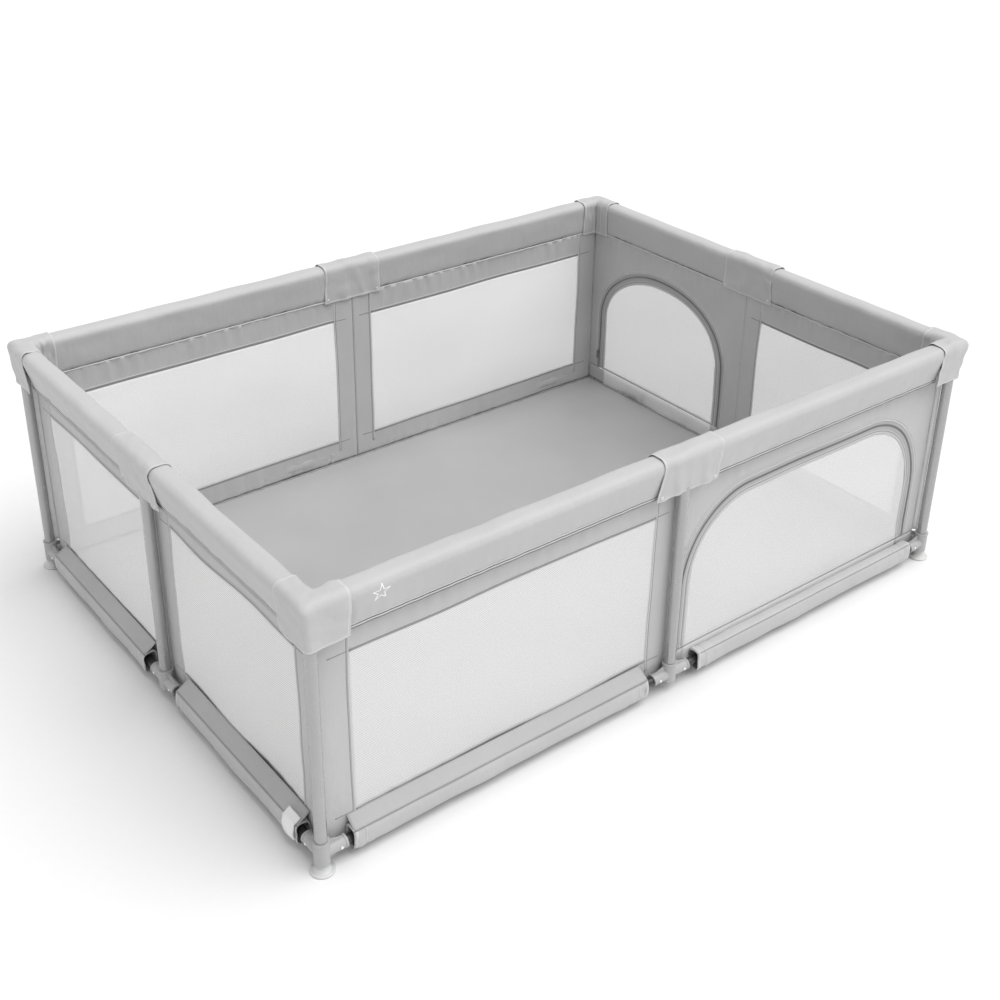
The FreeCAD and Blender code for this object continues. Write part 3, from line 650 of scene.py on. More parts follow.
def rail_cover(side, bay, sign):
    """A padded cover over half a side's top rail."""
    s = SIDES[side]
    start, end = COVER_FROM_POST, s["half"] - COVER_FROM_POST
    if sign < 0:
        start, end = -end, -start
    form = cover_form(start, end, s["seed"] + sign)
    around = np.arange(form.shape[1] + 1) * SECTION_STEP
    work = Work().grid(on_side(side, form), form[:, 0, 0], around, around=True)
    piece = work.build(f"padded_rail_cover_{side}_{bay}", cover_cloth, slot="cover_fabric")
    swell(piece)
    return piece


def outer_face(z):
    """How far out the cover's slanting outer face is at a height, with 1.2 mm of swell."""
    upper, lower = -COVER_HALF, COVER_SEAM_AT[0] - COVER_SEAM_HALF
    t = (SHOULDER_UP - z) / (SHOULDER_UP - COVER_SEAM_AT[1])
    return upper + (lower - upper) * np.clip(t, 0, 1) - 0.0012


def cover_cords(side):
    """Two light cords along the outer foot of each cover, one on the inner, and under them a dark strip that
    is painted shadow, cast by the cover on the wall below.
    """
    s = SIDES[side]
    way = inward(side)
    cords, seam_shade_strips = Work(), Work()
    for sign in BAYS.values():
        x = spaced(COVER_FROM_POST + 0.004, s["half"] - COVER_FROM_POST - 0.004, step=TRIM_STEP) * sign
        wander = pleats(x, s["seed"] + 5, 0.06) * 0.0004
        for lift in (0.0105, 0.0045):
            z = COVER_BOTTOM + lift + wander
            line = np.stack([x, outer_face(z) + 0.0004, z], axis=1)
            cords.strip(on_side(side, line), way, 0.0036, 0.0030)
        # A dark block under the cover's foot: painted shadow of the overhanging cover.
        z = COVER_BOTTOM - 0.0005 + wander
        line = np.stack([x, np.full_like(x, COVER_SEAM_AT[0] - 0.004), z], axis=1)
        seam_shade_strips.strip(on_side(side, line), way, 0.0045, 0.018, square=0.7)
        line = np.stack([x, np.full_like(x, COVER_SEAM_AT[0] + COVER_SEAM_HALF + 0.0018), z + 0.004], axis=1)
        cords.strip(on_side(side, line), way, 0.0048, 0.0030)
    cords.build(f"cover_piping_{side}", piping_cloth, slot="cover_fabric")
    seam_shade_strips.build(f"cover_shadow_strip_{side}", seam_shade_cloth, slot="cover_fabric")


def inward(side):
    """The direction into the pen from a side."""
    return quarter_turned(np.array([0.0, 1.0, 0.0]), SIDES[side]["turn"])


# ---- wraps over the top connectors ----
WRAP_OUTER_FOOT = -0.0120
WRAP_INNER_FOOT = 0.0252
CORNER_OUTER_FOOT = -0.0190
WRAP_LIFT = 0.0020
CORNER_STEPS = 40
ROUND_STEPS = 17
OUTER_ROUND, INNER_ROUND = 0.014, 0.005


def saddle_section(outer_foot):
    """The line of a wrap from its outer hem over the rail to its inner hem, in y and z: straight up to where
    it touches the outer shoulder, round it, level to the inner shoulder, round it and straight down. A line
    from a foot touches a round at the foot's own direction, turned by the angle whose cosine is the radius
    over the foot's distance."""
    radius = SHOULDER + WRAP_LIFT
    drop = SHOULDER_UP - WRAP_BOTTOM

    def touch(foot, way):
        out = foot + way * -SHOULDER_OUT
        return math.atan2(-drop, out) + way * math.acos(radius / math.hypot(out, drop))

    def shoulder(start, end, middle):
        turn = np.linspace(start, end, 24)
        return np.stack([middle + radius * np.cos(turn), SHOULDER_UP + radius * np.sin(turn)], axis=1)

    outer = shoulder(touch(outer_foot, -1) + 2 * np.pi, np.pi / 2, -SHOULDER_OUT)
    inner = shoulder(np.pi / 2, touch(WRAP_INNER_FOOT, 1), SHOULDER_OUT)
    feet = np.array([[outer_foot, WRAP_BOTTOM], [WRAP_INNER_FOOT, WRAP_BOTTOM]])
    return evenly(np.concatenate([feet[:1], outer, inner, feet[1:]]), 0.004)


def section_normals(section):
    """Unit vectors out of a section's line, square to its run."""
    run = np.gradient(section, axis=0)
    out = np.stack([-run[:, 1], run[:, 0]], axis=1)
    return out / np.linalg.norm(out, axis=1, keepdims=True)


def mid_wrap(side):
    """The wrap over a middle connector: its section carried along the rail, flared at the hems, rippled,
    pleated towards the hems and drawn in beside its ends."""
    s = SIDES[side]
    section = saddle_section(WRAP_OUTER_FOOT)
    normal = section_normals(section)
    run = lengths(section)
    along = np.linspace(-1, 1, 49)
    share = run / run[-1]
    toward_hem = np.abs(share - 0.5) * 2
    flare = 0.002 * toward_hem**3 - 0.002 * np.sin(np.pi * share)
    x = along[:, None] * (WRAP_REACH - 0.004 + flare[None, :])
    ripple = unevenness(x, run[None, :], s["seed"] + 7, 0.06) * 0.0014
    drape = pleats(x + run[None, :] * 0.25, s["seed"] + 8, 0.045) * 0.0018 * toward_hem[None, :] ** 1.5
    tuck = -0.0008 * smooth((np.abs(along) - 0.80) / 0.20)[:, None]
    out = np.clip(ripple + drape, -0.0008, 0.0030) + tuck
    yz = section[None] + normal[None] * out[..., None]
    p = np.concatenate([x[..., None], yz], axis=2)
    work = Work().grid(on_side(side, p), along * WRAP_REACH, run)
    piece = work.build(f"mid_wrap_{side}_cloth", wrap_cloth, slot="cover_fabric")
    thickened(piece, CLOTH)
    trim = Work()
    for k in (1, -2):
        trim.strip(on_side(side, p[k]), on_side_way(side, normal), **WRAP_BINDING)
        trim.strip(on_side(side, p[:, k]), inward(side), **BINDING)
    edging = trim.build(f"mid_wrap_{side}_binding", binding_cloth, slot="cover_fabric")
    tacks = Work()
    span = quarter_turned(np.array([0.0042, 0.0, 0.0]), s["turn"])
    for end in (3, -4):
        for k in (3, -4):
            at = on_side(side, p[end, k])
            bar = np.stack([at - span, at, at + span])
            tacks.strip(bar, inward(side), 0.0085, 0.0030, sides=12, square=0.45)
    tack = tacks.build(f"mid_wrap_{side}_tacks", tack_thread, slot="cover_fabric")
    return piece


def on_side_way(side, way):
    """Directions in a side's y and z turned into the pen's frame."""
    full = np.stack([np.zeros(len(way)), way[:, 0], way[:, 1]], axis=1)
    return quarter_turned(full, SIDES[side]["turn"])


CORNERS = {
    "front_left": {"turn": 0, "x": -1, "y": -1, "seed": 53, "sides": ("front", "left")},
    "front_right": {"turn": 1, "x": 1, "y": -1, "seed": 59, "sides": ("front", "right")},
    "back_right": {"turn": 2, "x": 1, "y": 1, "seed": 61, "sides": ("back", "right")},
    "back_left": {"turn": 3, "x": -1, "y": 1, "seed": 67, "sides": ("back", "left")},
}


def at_corner(corner, p):
    """Points of a corner's own frame turned and moved to its post."""
    c = CORNERS[corner]
    return quarter_turned(p, c["turn"]) + np.array([c["x"] * HALF_LENGTH, c["y"] * HALF_WIDTH, 0.0])


def corner_lines(offset, rounding):
    """Lines round a corner, one for each offset from both posts' lines: along one leg, round a quarter circle
    and along the other. Every line has the same number of points, so that together they make a grid."""
    straight = np.linspace(1, 0, CORNER_STEPS + 1)[:-1, None]
    turn = np.linspace(np.pi / 2, 0, ROUND_STEPS)[:, None]
    centre = offset + rounding
    leg = centre + (CORNER_REACH - 0.003 - centre) * straight
    first = np.stack([leg, np.broadcast_to(offset, leg.shape)], axis=-1)
    arc = np.stack([centre - rounding * np.cos(turn), centre - rounding * np.sin(turn)], axis=-1)
    return np.concatenate([first, arc, first[::-1, :, ::-1]])


def corner_wrap(corner):
    """The wrap over a corner: its section carried round the corner, rippled, with folds that fan out inside
    the bend and die away from it, drawn in beside its ends and pressed down over the corner itself."""
    c = CORNERS[corner]
    section = saddle_section(CORNER_OUTER_FOOT)
    run = lengths(section)
    share = run / run[-1]
    rounding = OUTER_ROUND - (OUTER_ROUND - INNER_ROUND) * np.clip(section[:, 0] / WRAP_HALF, 0.0, 1.0)
    lines = corner_lines(section[:, 0], rounding)
    height = np.broadcast_to(section[:, 1], lines.shape[:2])
    p = np.concatenate([lines, height[..., None]], axis=2)
    along = lengths(p[:, len(section) // 2])
    way = np.stack([np.gradient(p[..., k], axis=0) for k in range(3)], axis=-1)
    up = np.stack([np.gradient(p[..., k], axis=1) for k in range(3)], axis=-1)
    out = np.cross(up, way)
    out /= np.maximum(np.linalg.norm(out, axis=2, keepdims=True), 1e-9)
    far = np.abs(along - along[-1] / 2)[:, None]
    inner = smooth((share - 0.55) / 0.2)[None, :]
    folds = np.sin(2 * np.pi * far / 0.019 + 4 * share[None, :]) * np.exp(-far / 0.035) * inner * 0.0044
    ripple = unevenness(along[:, None], run[None, :], c["seed"], 0.05) * 0.0014
    tuck = -0.0008 * smooth((far - (along[-1] / 2 - 0.014)) / 0.014)
    crown = -0.0016 * np.exp(-((far / 0.012) ** 2)) * np.exp(-(((share[None, :] - 0.5) / 0.06) ** 2))
    p = p + out * (np.clip(folds + ripple, -0.0012, 0.0040) + tuck + crown)[..., None]
    p = at_corner(corner, p)
    piece = Work().grid(p, along, run).build(f"corner_wrap_{corner}_cloth", wrap_cloth, slot="cover_fabric")
    thickened(piece, CLOTH)
    out = quarter_turned(out, c["turn"])
    trim = Work()
    for k in (1, -2):
        trim.strip(p[k], out[k], **WRAP_BINDING)
        trim.strip(p[:, k], out[:, k], **BINDING)
    edging = trim.build(f"corner_wrap_{corner}_binding", binding_cloth, slot="cover_fabric")
    size = (float(along[-1]) + 2 * WRAP_HALF, float(run[-1]))
    min(sheet_area(p), size[0] * size[1])
    return piece


def sheet_area(p):
    """The area of a grid of points: half the cross product of each cell's diagonals, summed."""
    a, b = p[1:, 1:] - p[:-1, :-1], p[1:, :-1] - p[:-1, 1:]
    return float(np.linalg.norm(np.cross(a, b), axis=2).sum() / 2)


# ---- walls ----
def relief(side, x, z):
    """How far the wall's cloth stands in from its plane: slow waves, gathers that fade down from the rail,
    and puckers by the sleeve. It all dies out beside the posts, along a zip's straight leg and at a sill."""
    s = SIDES[side]
    seed = s["seed"]
    clear = smooth((np.abs(x) - 0.025) / 0.06) * smooth((s["half"] - 0.03 - np.abs(x)) / 0.06)
    if side in DOORS:
        at_zip = smooth((np.abs(x - DOORS[side]["slider"]) - 0.016) / 0.05)
        at_sill = smooth((np.abs(z - SILL) - 0.008) / 0.05)
        clear = clear * at_zip * np.where(x > 0, at_sill, 1.0)
    slow = unevenness(x, z, seed + 2, 0.30) * 0.0022
    upper = smooth((z - WINDOW_TOP) / (COVER_BOTTOM - WINDOW_TOP))
    gathers = pleats(x, seed + 3, 0.030) * 0.0024 * upper
    lower = smooth((WINDOW_BOTTOM + 0.02 - z) / 0.05)
    puckers = pleats(x, seed + 4, 0.045) * 0.0008 * lower
    return (slow + gathers + puckers + 0.001) * clear


def wall_point(side, x, z):
    """Points of the wall's middle surface."""
    return on_side(side, np.stack([x, WALL_INSET + relief(side, x, z), z], axis=-1))


def bay_ends(side, sign):
    """A bay's cloth from beside its middle post to its corner."""
    s = SIDES[side]
    corner = s["half"] - WALL_INSET + (CLOTH / 2 if side in ("front", "back") else -CLOTH / 2)
    return 0.0008 * sign, (corner - 0.0004) * sign


def window_edges(side, sign):
    """A window's edge beside the middle post and its edge beside the corner."""
    return WINDOW_FROM_MID * sign, (SIDES[side]["half"] - WINDOW_FROM_CORNER) * sign


WALL_TOP = COVER_BOTTOM + 0.004
SLOPE_ROOT = (WALL_INSET - 0.0012, WINDOW_BOTTOM - 0.004)
SLOPE_FOOT = (0.0045 - SLEEVE_HALF, SLEEVE_TOP - 0.0026)
FIN_REACH = 0.0137
LEAST_OF_FLAT = 0.302


def corner_fin(corner):
    """The bound seam that joins two walls: a flat fin that stands out from them towards the corner's post."""
    c = CORNERS[corner]
    way = np.array([c["x"], c["y"], 0.0]) / math.sqrt(2)
    root = np.array([c["x"] * (HALF_LENGTH - WALL_INSET), c["y"] * (HALF_WIDTH - WALL_INSET), 0.0])
    z = spaced(SLEEVE_TOP + 0.012, WALL_TOP + 0.02, step=TRIM_STEP)
    sway = pleats(z, c["seed"] + 3, 0.16) * 0.0009
    square = np.array([-way[1], way[0], 0.0])
    path = root + way * FIN_REACH / 2 + square * sway[:, None] + np.array([0.0, 0.0, 1.0]) * z[:, None]
    fin = Work().strip(path, square, FIN_REACH, 0.0026, sides=10, square=0.5)
    return fin.build(f"corner_seam_{corner}", binding_cloth, slot="wall_fabric")


def seams_at(side, sign):
    """The corner fin sewn to a bay of a long side."""
    across = {"front": sign, "back": -sign}.get(side)
    if across is None:
        return []
    return [corner_fin(f"{side}_{'right' if across > 0 else 'left'}")]


def lower_slope(side, bay, sign):
    """The lower border of a bay: from the wall under its window it slants out and down over the sleeve to
    the sleeve's outer seam, sagging 1.5 mm between."""
    s = SIDES[side]
    start, end = (SLEEVE_FROM_MID + 0.003) * sign, (s["half"] - SLEEVE_FROM_CORNER - 0.003) * sign
    x, t = spaced(start, end), np.linspace(0, 1, 9)
    near_end = np.exp(-np.minimum(np.abs(x - start), np.abs(x - end)) / 0.05)[:, None]
    puckers = pleats(x, s["seed"] + 15 + sign, 0.030)[:, None] * (0.0003 + 0.0010 * near_end)
    y = SLOPE_ROOT[0] + (SLOPE_FOOT[0] - SLOPE_ROOT[0]) * t
    z = SLOPE_ROOT[1] + (SLOPE_FOOT[1] - SLOPE_ROOT[1]) * t + (puckers - 0.0015) * np.sin(np.pi * t)
    p = np.stack([np.broadcast_to(x[:, None], z.shape), np.broadcast_to(y, z.shape), z], axis=-1)
    run = math.dist(SLOPE_ROOT, SLOPE_FOOT)
    work = Work().grid(on_side(side, p), x, t * run)
    # The border's cloth is the darker copy: painted shade on the upward-facing slope.
    piece = work.build(f"lower_border_{side}_{bay}", border_shade_cloth, slot="wall_fabric")
    thickened(piece, CLOTH)
    # A dark cord along the border's outer edge: painted shade in the joint where the border meets the sleeve.
    way = on_side_way(side, np.array([[-0.7, 0.7]]))[0]
    outer_edge = on_side(side, p[:, -1] + np.array([0, -0.0004, 0.0]))
    seam_shade_strips = Work().strip(outer_edge, way, 0.0030, 0.0026)
    seam = seam_shade_strips.build(f"lower_border_seam_{side}_{bay}", seam_shade_cloth, slot="wall_fabric")
    abs(end - start)


def window_bay(side, bay, sign):
    """A bay's cloth with a hole for its window, the netting in it, and dark strips of painted seam shade
    round it.
    """
    mid, end = bay_ends(side, sign)
    inner, outer = window_edges(side, sign)
    x = spaced(mid, inner, outer, end)
    z = spaced(WALL_BOTTOM, WINDOW_BOTTOM, WINDOW_TOP, WALL_TOP)
    xx, zz = np.meshgrid(x, z, indexing="ij")
    between_x = (x[:-1] + x[1:]) / 2
    between_z = (z[:-1] + z[1:]) / 2
    low, high = sorted((inner, outer))
    hole_x = (between_x > low) & (between_x < high)
    hole_z = (between_z > WINDOW_BOTTOM) & (between_z < WINDOW_TOP)
    keep = ~(hole_x[:, None] & hole_z[None, :])
    name = f"{side}_{bay}"
    cloth = Work().grid(wall_point(side, xx, zz), x, z, keep=keep)
    wall = cloth.build(f"wall_cloth_{name}", shell_cloth, slot="wall_fabric")
    thickened(wall, CLOTH)
    pane_x, pane_z = spaced(inner, outer), spaced(WINDOW_BOTTOM, WINDOW_TOP)
    px, pz = np.meshgrid(pane_x, pane_z, indexing="ij")
    pane = Work().grid(wall_point(side, px, pz), pane_x, pane_z)
    net = pane.build(f"window_netting_{name}", window_net, slot="window_mesh")
    thickened(net, MESH_CLOTH)
    # The welts are light cords; the other strips are dark, painted shade in the seam lines beside the welts,
    # along the window's top and bottom and running on from its corners.
    welts, seam_shade_strips = Work(), Work()
    normal = inward(side)

    def level_line(start, finish, height, step):
        x = spaced(start, finish, step=step)
        return wall_point(side, x, np.full_like(x, height))

    for edge in (inner, outer):
        away = math.copysign(1.0, edge - (inner + outer) / 2)
        z = spaced(SLEEVE_TOP - 0.01, WALL_TOP, step=TRIM_STEP)
        welt_x = np.full_like(z, edge + away * 0.002)
        welts.strip(wall_point(side, welt_x, z), normal, 0.0038, 0.0046)
        seam_shade_strips.strip(wall_point(side, welt_x + away * 0.0042, z), normal, 0.0030, 0.0020)
    for height in (WINDOW_BOTTOM - 0.0035, WINDOW_TOP + 0.0035):
        seam_shade_strips.strip(level_line(inner, outer, height, TRIM_STEP), normal, **BINDING)
        for edge, bay_end in ((inner, mid), (outer, end)):
            run_on = level_line(edge, bay_end + 0.35 * (edge - bay_end), height, GRID)
            seam_shade_strips.strip(run_on, normal, 0.0040, 0.0020)
    welts.strip(level_line(inner, outer, WINDOW_TOP + 0.0085, TRIM_STEP), normal, 0.0030, 0.0034)
    welt = welts.build(f"window_welt_{name}", piping_cloth, slot="wall_fabric")
    seam = seam_shade_strips.build(f"window_seam_shade_{name}", seam_shade_cloth, slot="wall_fabric")
    width, height = abs(end - mid), WALL_TOP - WALL_BOTTOM
    opening = abs(outer - inner) * (WINDOW_TOP - WINDOW_BOTTOM)
    width * height - opening
    [welt, seam] + seams_at(side, sign)
    abs(outer - inner)
    return wall, net


def door_middle(side):
    """The middle of a door and half its width at the edge of its netting."""
    low = DOORS[side]["mid"]
    high = SIDES[side]["half"] - WINDOW_FROM_CORNER
    return (low + high) / 2, (high - low) / 2


LEG_POINTS = 25
OVAL_POINTS = 64


def arch(side, spread, base):
    """A door's outline from one foot to the other, its edge moved out by spread: a straight leg, a quarter
    oval, a flat crown, a quarter oval and a leg. Every spread has the same number of points."""
    door = DOORS[side]
    x, half = door_middle(side)
    across = (door["round"] or half) + spread
    up = door["rise"] + spread
    half, top = half + spread, DOOR_TOP + spread
    leg = np.linspace(base, top - up, LEG_POINTS + 1)[:-1]
    turn = np.linspace(0, np.pi / 2, OVAL_POINTS)
    flat = max(half - across, 0.0)
    left = np.stack([np.full_like(leg, x - half), leg], axis=1)
    oval = np.stack([x - flat - across * np.cos(turn), top - up + up * np.sin(turn)], axis=1)
    crown_x = np.linspace(-flat, flat, 30)[1:-1]
    crown = np.stack([x + crown_x, np.full_like(crown_x, top)], axis=1)
    right = np.concatenate([left, oval])[::-1].copy()
    right[:, 0] = 2 * x - right[:, 0]
    parts = [left, oval, crown, right] if flat > 0.001 else [left, oval[:-1], right]
    return np.concatenate(parts)


def door_edge(side, spread, base):
    """The line on the wall along a door's outline, moved out by spread."""
    outline = arch(side, spread, base)
    return wall_point(side, outline[:, 0], outline[:, 1])


def door_ring(side, inner, outer, base, rows):
    """A grid between two outlines of a door, with a flat map along and across it."""
    a, b = arch(side, inner, base), arch(side, outer, base)
    t = np.linspace(0, 1, rows)[None, :, None]
    xz = a[:, None] * (1 - t) + b[:, None] * t
    return wall_point(side, xz[..., 0], xz[..., 1]), lengths(a), np.linspace(inner, outer, rows)


def bay_rim(hole, foot, low, high):
    """Where rays from the middle of a door's foot through its outline meet the bay's sides or its top: each
    ray is lengthened to the nearer of them, and the rays beside the two upper corners go to the corners."""
    way = hole - foot
    off_axis = np.where(np.abs(way) < 1e-9, 1e-9, way)
    reach_x = np.where(way[:, 0] < 0, low - foot[0], high - foot[0]) / off_axis[:, 0]
    reach_z = (WALL_TOP - foot[1]) / off_axis[:, 1]
    rim = foot + way * np.minimum(np.abs(reach_x), np.abs(reach_z))[:, None]
    for corner in ((low, WALL_TOP), (high, WALL_TOP)):
        rim[np.argmin(np.linalg.norm(rim - np.array(corner), axis=1))] = corner
    return rim


CLOTH_ROWS = 22
COIL_FOOT = 0.007
TOOTH = 0.0028
WALL_WELTS = ((0.0130, 0.0042, 0.0006), (0.0200, 0.0026, 0.0006), (0.0060, 0.0036, -0.0006))


def door_bay(side, bay, sign):
    """The cloth round a door, the netting under it, and the trim on the wall's half of the zip. Each welt is
    given by its place outside the wall's edge, its thickness and its lift towards the zip's face."""
    mid, end = bay_ends(side, sign)
    low, high = min(mid, end), max(mid, end)
    x, half = door_middle(side)
    sill = SILL - 0.002
    hole = arch(side, WALL_EDGE, sill)
    rim = bay_rim(hole, np.array([x, sill]), low, high)
    t = np.linspace(0, 1, CLOTH_ROWS)[None, :, None]
    xz = hole[:, None] * (1 - t) + rim[:, None] * t
    p = wall_point(side, xz[..., 0], xz[..., 1])
    work = Work().grid(p, lengths(hole), np.linspace(0, 0.12, CLOTH_ROWS))
    name = f"{side}_{bay}"
    net_low, net_high = x - half, x + half
    xs, zs = spaced(low, net_low, net_high, high), spaced(WALL_BOTTOM, sill, step=0.010)
    xx, zz = np.meshgrid(xs, zs, indexing="ij")
    between = (xs[:-1] + xs[1:]) / 2
    netted = (between > net_low) & (between < net_high)
    netted = np.broadcast_to(netted[:, None], (len(xs) - 1, len(zs) - 1))
    work.grid(wall_point(side, xx, zz), xs, zs, keep=~netted)
    area = sheet_area(p) + (high - low - 2 * half) * (sill - WALL_BOTTOM)
    lower = Work().grid(wall_point(side, xx, zz), xs, zs, keep=netted)
    strip = lower.build(f"door_foot_netting_{name}", door_net, slot="door_mesh")
    thickened(strip, MESH_CLOTH)
    wall = work.build(f"wall_cloth_{name}", shell_cloth, slot="wall_fabric")
    thickened(wall, CLOTH)
    normal = inward(side)
    to_zip = normal * DOORS[side]["zip_face"]
    tape = Work().strip(door_edge(side, WALL_EDGE + 0.0055, SILL) + to_zip * 0.0010, normal, **ZIP_TAPE)
    taped = tape.build(f"{DOOR_NAMES[side]}_zip_wall_tape", tape_cloth, slot="zip_tape")
    coil = coil_row(side, WALL_EDGE + 0.0009, 0.0)
    teeth = coil.build(f"{DOOR_NAMES[side]}_zip_wall_coil", coil_plastic, slot="zip_tape")
    welts = Work()
    for spread, size, lift in WALL_WELTS:
        welts.strip(door_edge(side, WALL_EDGE + spread, SILL) + to_zip * lift, normal, size, size)
    welt = welts.build(f"door_welt_{name}", piping_cloth, slot="wall_fabric")
    high - low
    max(area, LEAST_OF_FLAT * (high - low) * (WALL_TOP - WALL_BOTTOM))
    [welt, taped, teeth] + seams_at(side, sign)
    2 * half
    return wall, taped


def coil_row(side, spread, phase):
    """Half of a zip's coil along the door's edge: a cord whose thickness rises and falls once a tooth."""
    edge = door_edge(side, spread, SILL + COIL_FOOT)
    path = evenly(edge, TOOTH / 4) + inward(side) * DOORS[side]["zip_face"] * 0.0016
    turns = 2 * np.pi * (lengths(path) / TOOTH + phase)
    return Work().strip(path, inward(side), 0.0026, 0.0026, sides=6, swell=1 + 0.3 * np.sin(turns))


def flap_netting(side, base):
    """A grid that fills a door's outline: upright columns, each from the foot to the outline above it."""
    outline = arch(side, 0.0, base)
    x, half = door_middle(side)
    xs = spaced(x - half, x + half)
    curve = outline[LEG_POINTS - 1 : len(outline) - LEG_POINTS + 1]
    tops = np.interp(xs, curve[:, 0], curve[:, 1])
    tops[0], tops[-1] = curve[0, 1], curve[-1, 1]
    zz = base + (tops - base)[:, None] * np.linspace(0, 1, 49)[None, :]
    return np.broadcast_to(xs[:, None], zz.shape), zz


def door_flap(side):
    """A door that rides on its own body: fabric edge, netting, and the flap's half of the zip."""
    name = DOOR_NAMES[side]
    body = f"{name}_door"
    base = FLAP_SILL
    normal = inward(side)
    to_zip = normal * DOORS[side]["zip_face"]
    x, half = door_middle(side)
    p, run, across = door_ring(side, 0.0, FLAP_RIM, base, 6)
    border = Work().grid(p, run, across).build(f"{name}_door_edge_cloth", shell_cloth, body, "wall_fabric")
    thickened(border, CLOTH)
    xx, zz = flap_netting(side, base)
    p_net = wall_point(side, xx, zz)
    net = Work().grid(p_net, xx, zz).build(f"{name}_door_netting", door_net, body, "door_mesh")
    thickened(net, MESH_CLOTH)
    trim = Work()
    for turn in (-1, 1):
        trim.strip(door_edge(side, 0.0035, base) + normal * turn * 0.0006, normal, **BINDING)
    sill = spaced(x - half - FLAP_BORDER + 0.001, x + half + FLAP_BORDER - 0.001, step=TRIM_STEP)
    trim.strip(wall_point(side, sill, np.full_like(sill, base + 0.004)), normal, **SILL_BINDING)
    edging = trim.build(f"{name}_door_binding", hem_cloth, body, "wall_fabric")
    # A dark cord inside the flap's binding: painted shade in the seam along the door's edge.
    seam_shade_strips = Work().strip(door_edge(side, 0.0088, base), normal, 0.0030, 0.0022)
    seam = seam_shade_strips.build(f"{name}_door_seam_shade", seam_shade_cloth, body, "wall_fabric")
    tape = Work().strip(door_edge(side, FLAP_RIM - 0.0056, base) + to_zip * 0.0010, normal, **ZIP_TAPE)
    taped = tape.build(f"{name}_zip_flap_tape", tape_cloth, body, "zip_tape")
    coil = coil_row(side, FLAP_RIM - 0.0009, 0.5)
    teeth = coil.build(f"{name}_zip_flap_coil", coil_plastic, body, "zip_tape")
    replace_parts(border, f"{name}_door_flap")
    2 * half
    sheet_area(p_net)


# ---- sleeves round the bottom rails ----
SLEEVE_SQUARE = 0.55


def sleeve(side, bay, sign):
    """A cloth channel round a bottom rail: a rounded oblong carried along it, puckered towards its ends."""
    s = SIDES[side]
    start, end = SLEEVE_FROM_MID * sign, (s["half"] - SLEEVE_FROM_CORNER) * sign
    x = spaced(start, end, step=0.006)
    half_deep, half_high = SLEEVE_HALF - CLOTH / 2, (SLEEVE_TOP - SLEEVE_BOTTOM) / 2 - CLOTH / 2
    c, d = squarish(np.linspace(0, 2 * np.pi, 241)[:-1], SLEEVE_SQUARE)
    ring = np.stack([half_deep * c, half_high * d], axis=1)
    ring = evenly(np.concatenate([ring, ring[:1]]), SECTION_STEP)[:-1]
    run = np.arange(len(ring) + 1) * SECTION_STEP
    out = ring / np.linalg.norm(ring, axis=1, keepdims=True)
    near_end = np.exp(-np.minimum(np.abs(x - start), np.abs(x - end)) / 0.045)
    seed = s["seed"] + 9 + sign
    puckers = unevenness(x[:, None] * 2.2, run[None, :-1], seed, 0.045) * 0.0021 * near_end[:, None]
    slow = unevenness(x[:, None], run[None, :-1], seed + 1, 0.20) * 0.0012
    yz = ring[None] + out[None] * np.minimum(puckers + slow - 0.0012, 0.0008)[..., None]
    yz = yz + np.array([0.0, (SLEEVE_TOP + SLEEVE_BOTTOM) / 2])
    p = np.concatenate([np.broadcast_to(x[:, None, None], yz.shape[:2] + (1,)), yz], axis=2)
    work = Work().grid(on_side(side, p), np.abs(x - start), run, around=True)
    piece = work.build(f"rail_sleeve_{side}_{bay}", sleeve_cloth, slot="wall_fabric")
    thickened(piece, CLOTH)
    hems = Work()
    for row, wide in ((1, 0.0075), (-2, 0.0075), (5, 0.0030), (-6, 0.0030)):
        loop = np.concatenate([p[row], p[row][:2]])
        way = np.concatenate([out, out[:2]])
        hems.strip(on_side(side, loop), on_side_way(side, way), wide, 0.0028, square=0.7)
    hem = hems.build(f"sleeve_hem_{side}_{bay}", binding_cloth, slot="wall_fabric")
    # A dark cord along the sleeve's upper outer side: painted shade of the seam there.
    top = int(np.argmin(np.abs(ring[:, 0] + 0.013) + (ring[:, 1] < 0) * 9))
    seam_shade_strips = Work().strip(on_side(side, p[:, top]), np.array([0.0, 0.0, 1.0]), 0.0034, 0.0026)
    seam = seam_shade_strips.build(f"sleeve_seam_shade_{side}_{bay}", seam_shade_cloth, slot="wall_fabric")
    abs(end - start)
    return piece


# ---- floor, feet and label ----
SEAM_INSET = 0.006


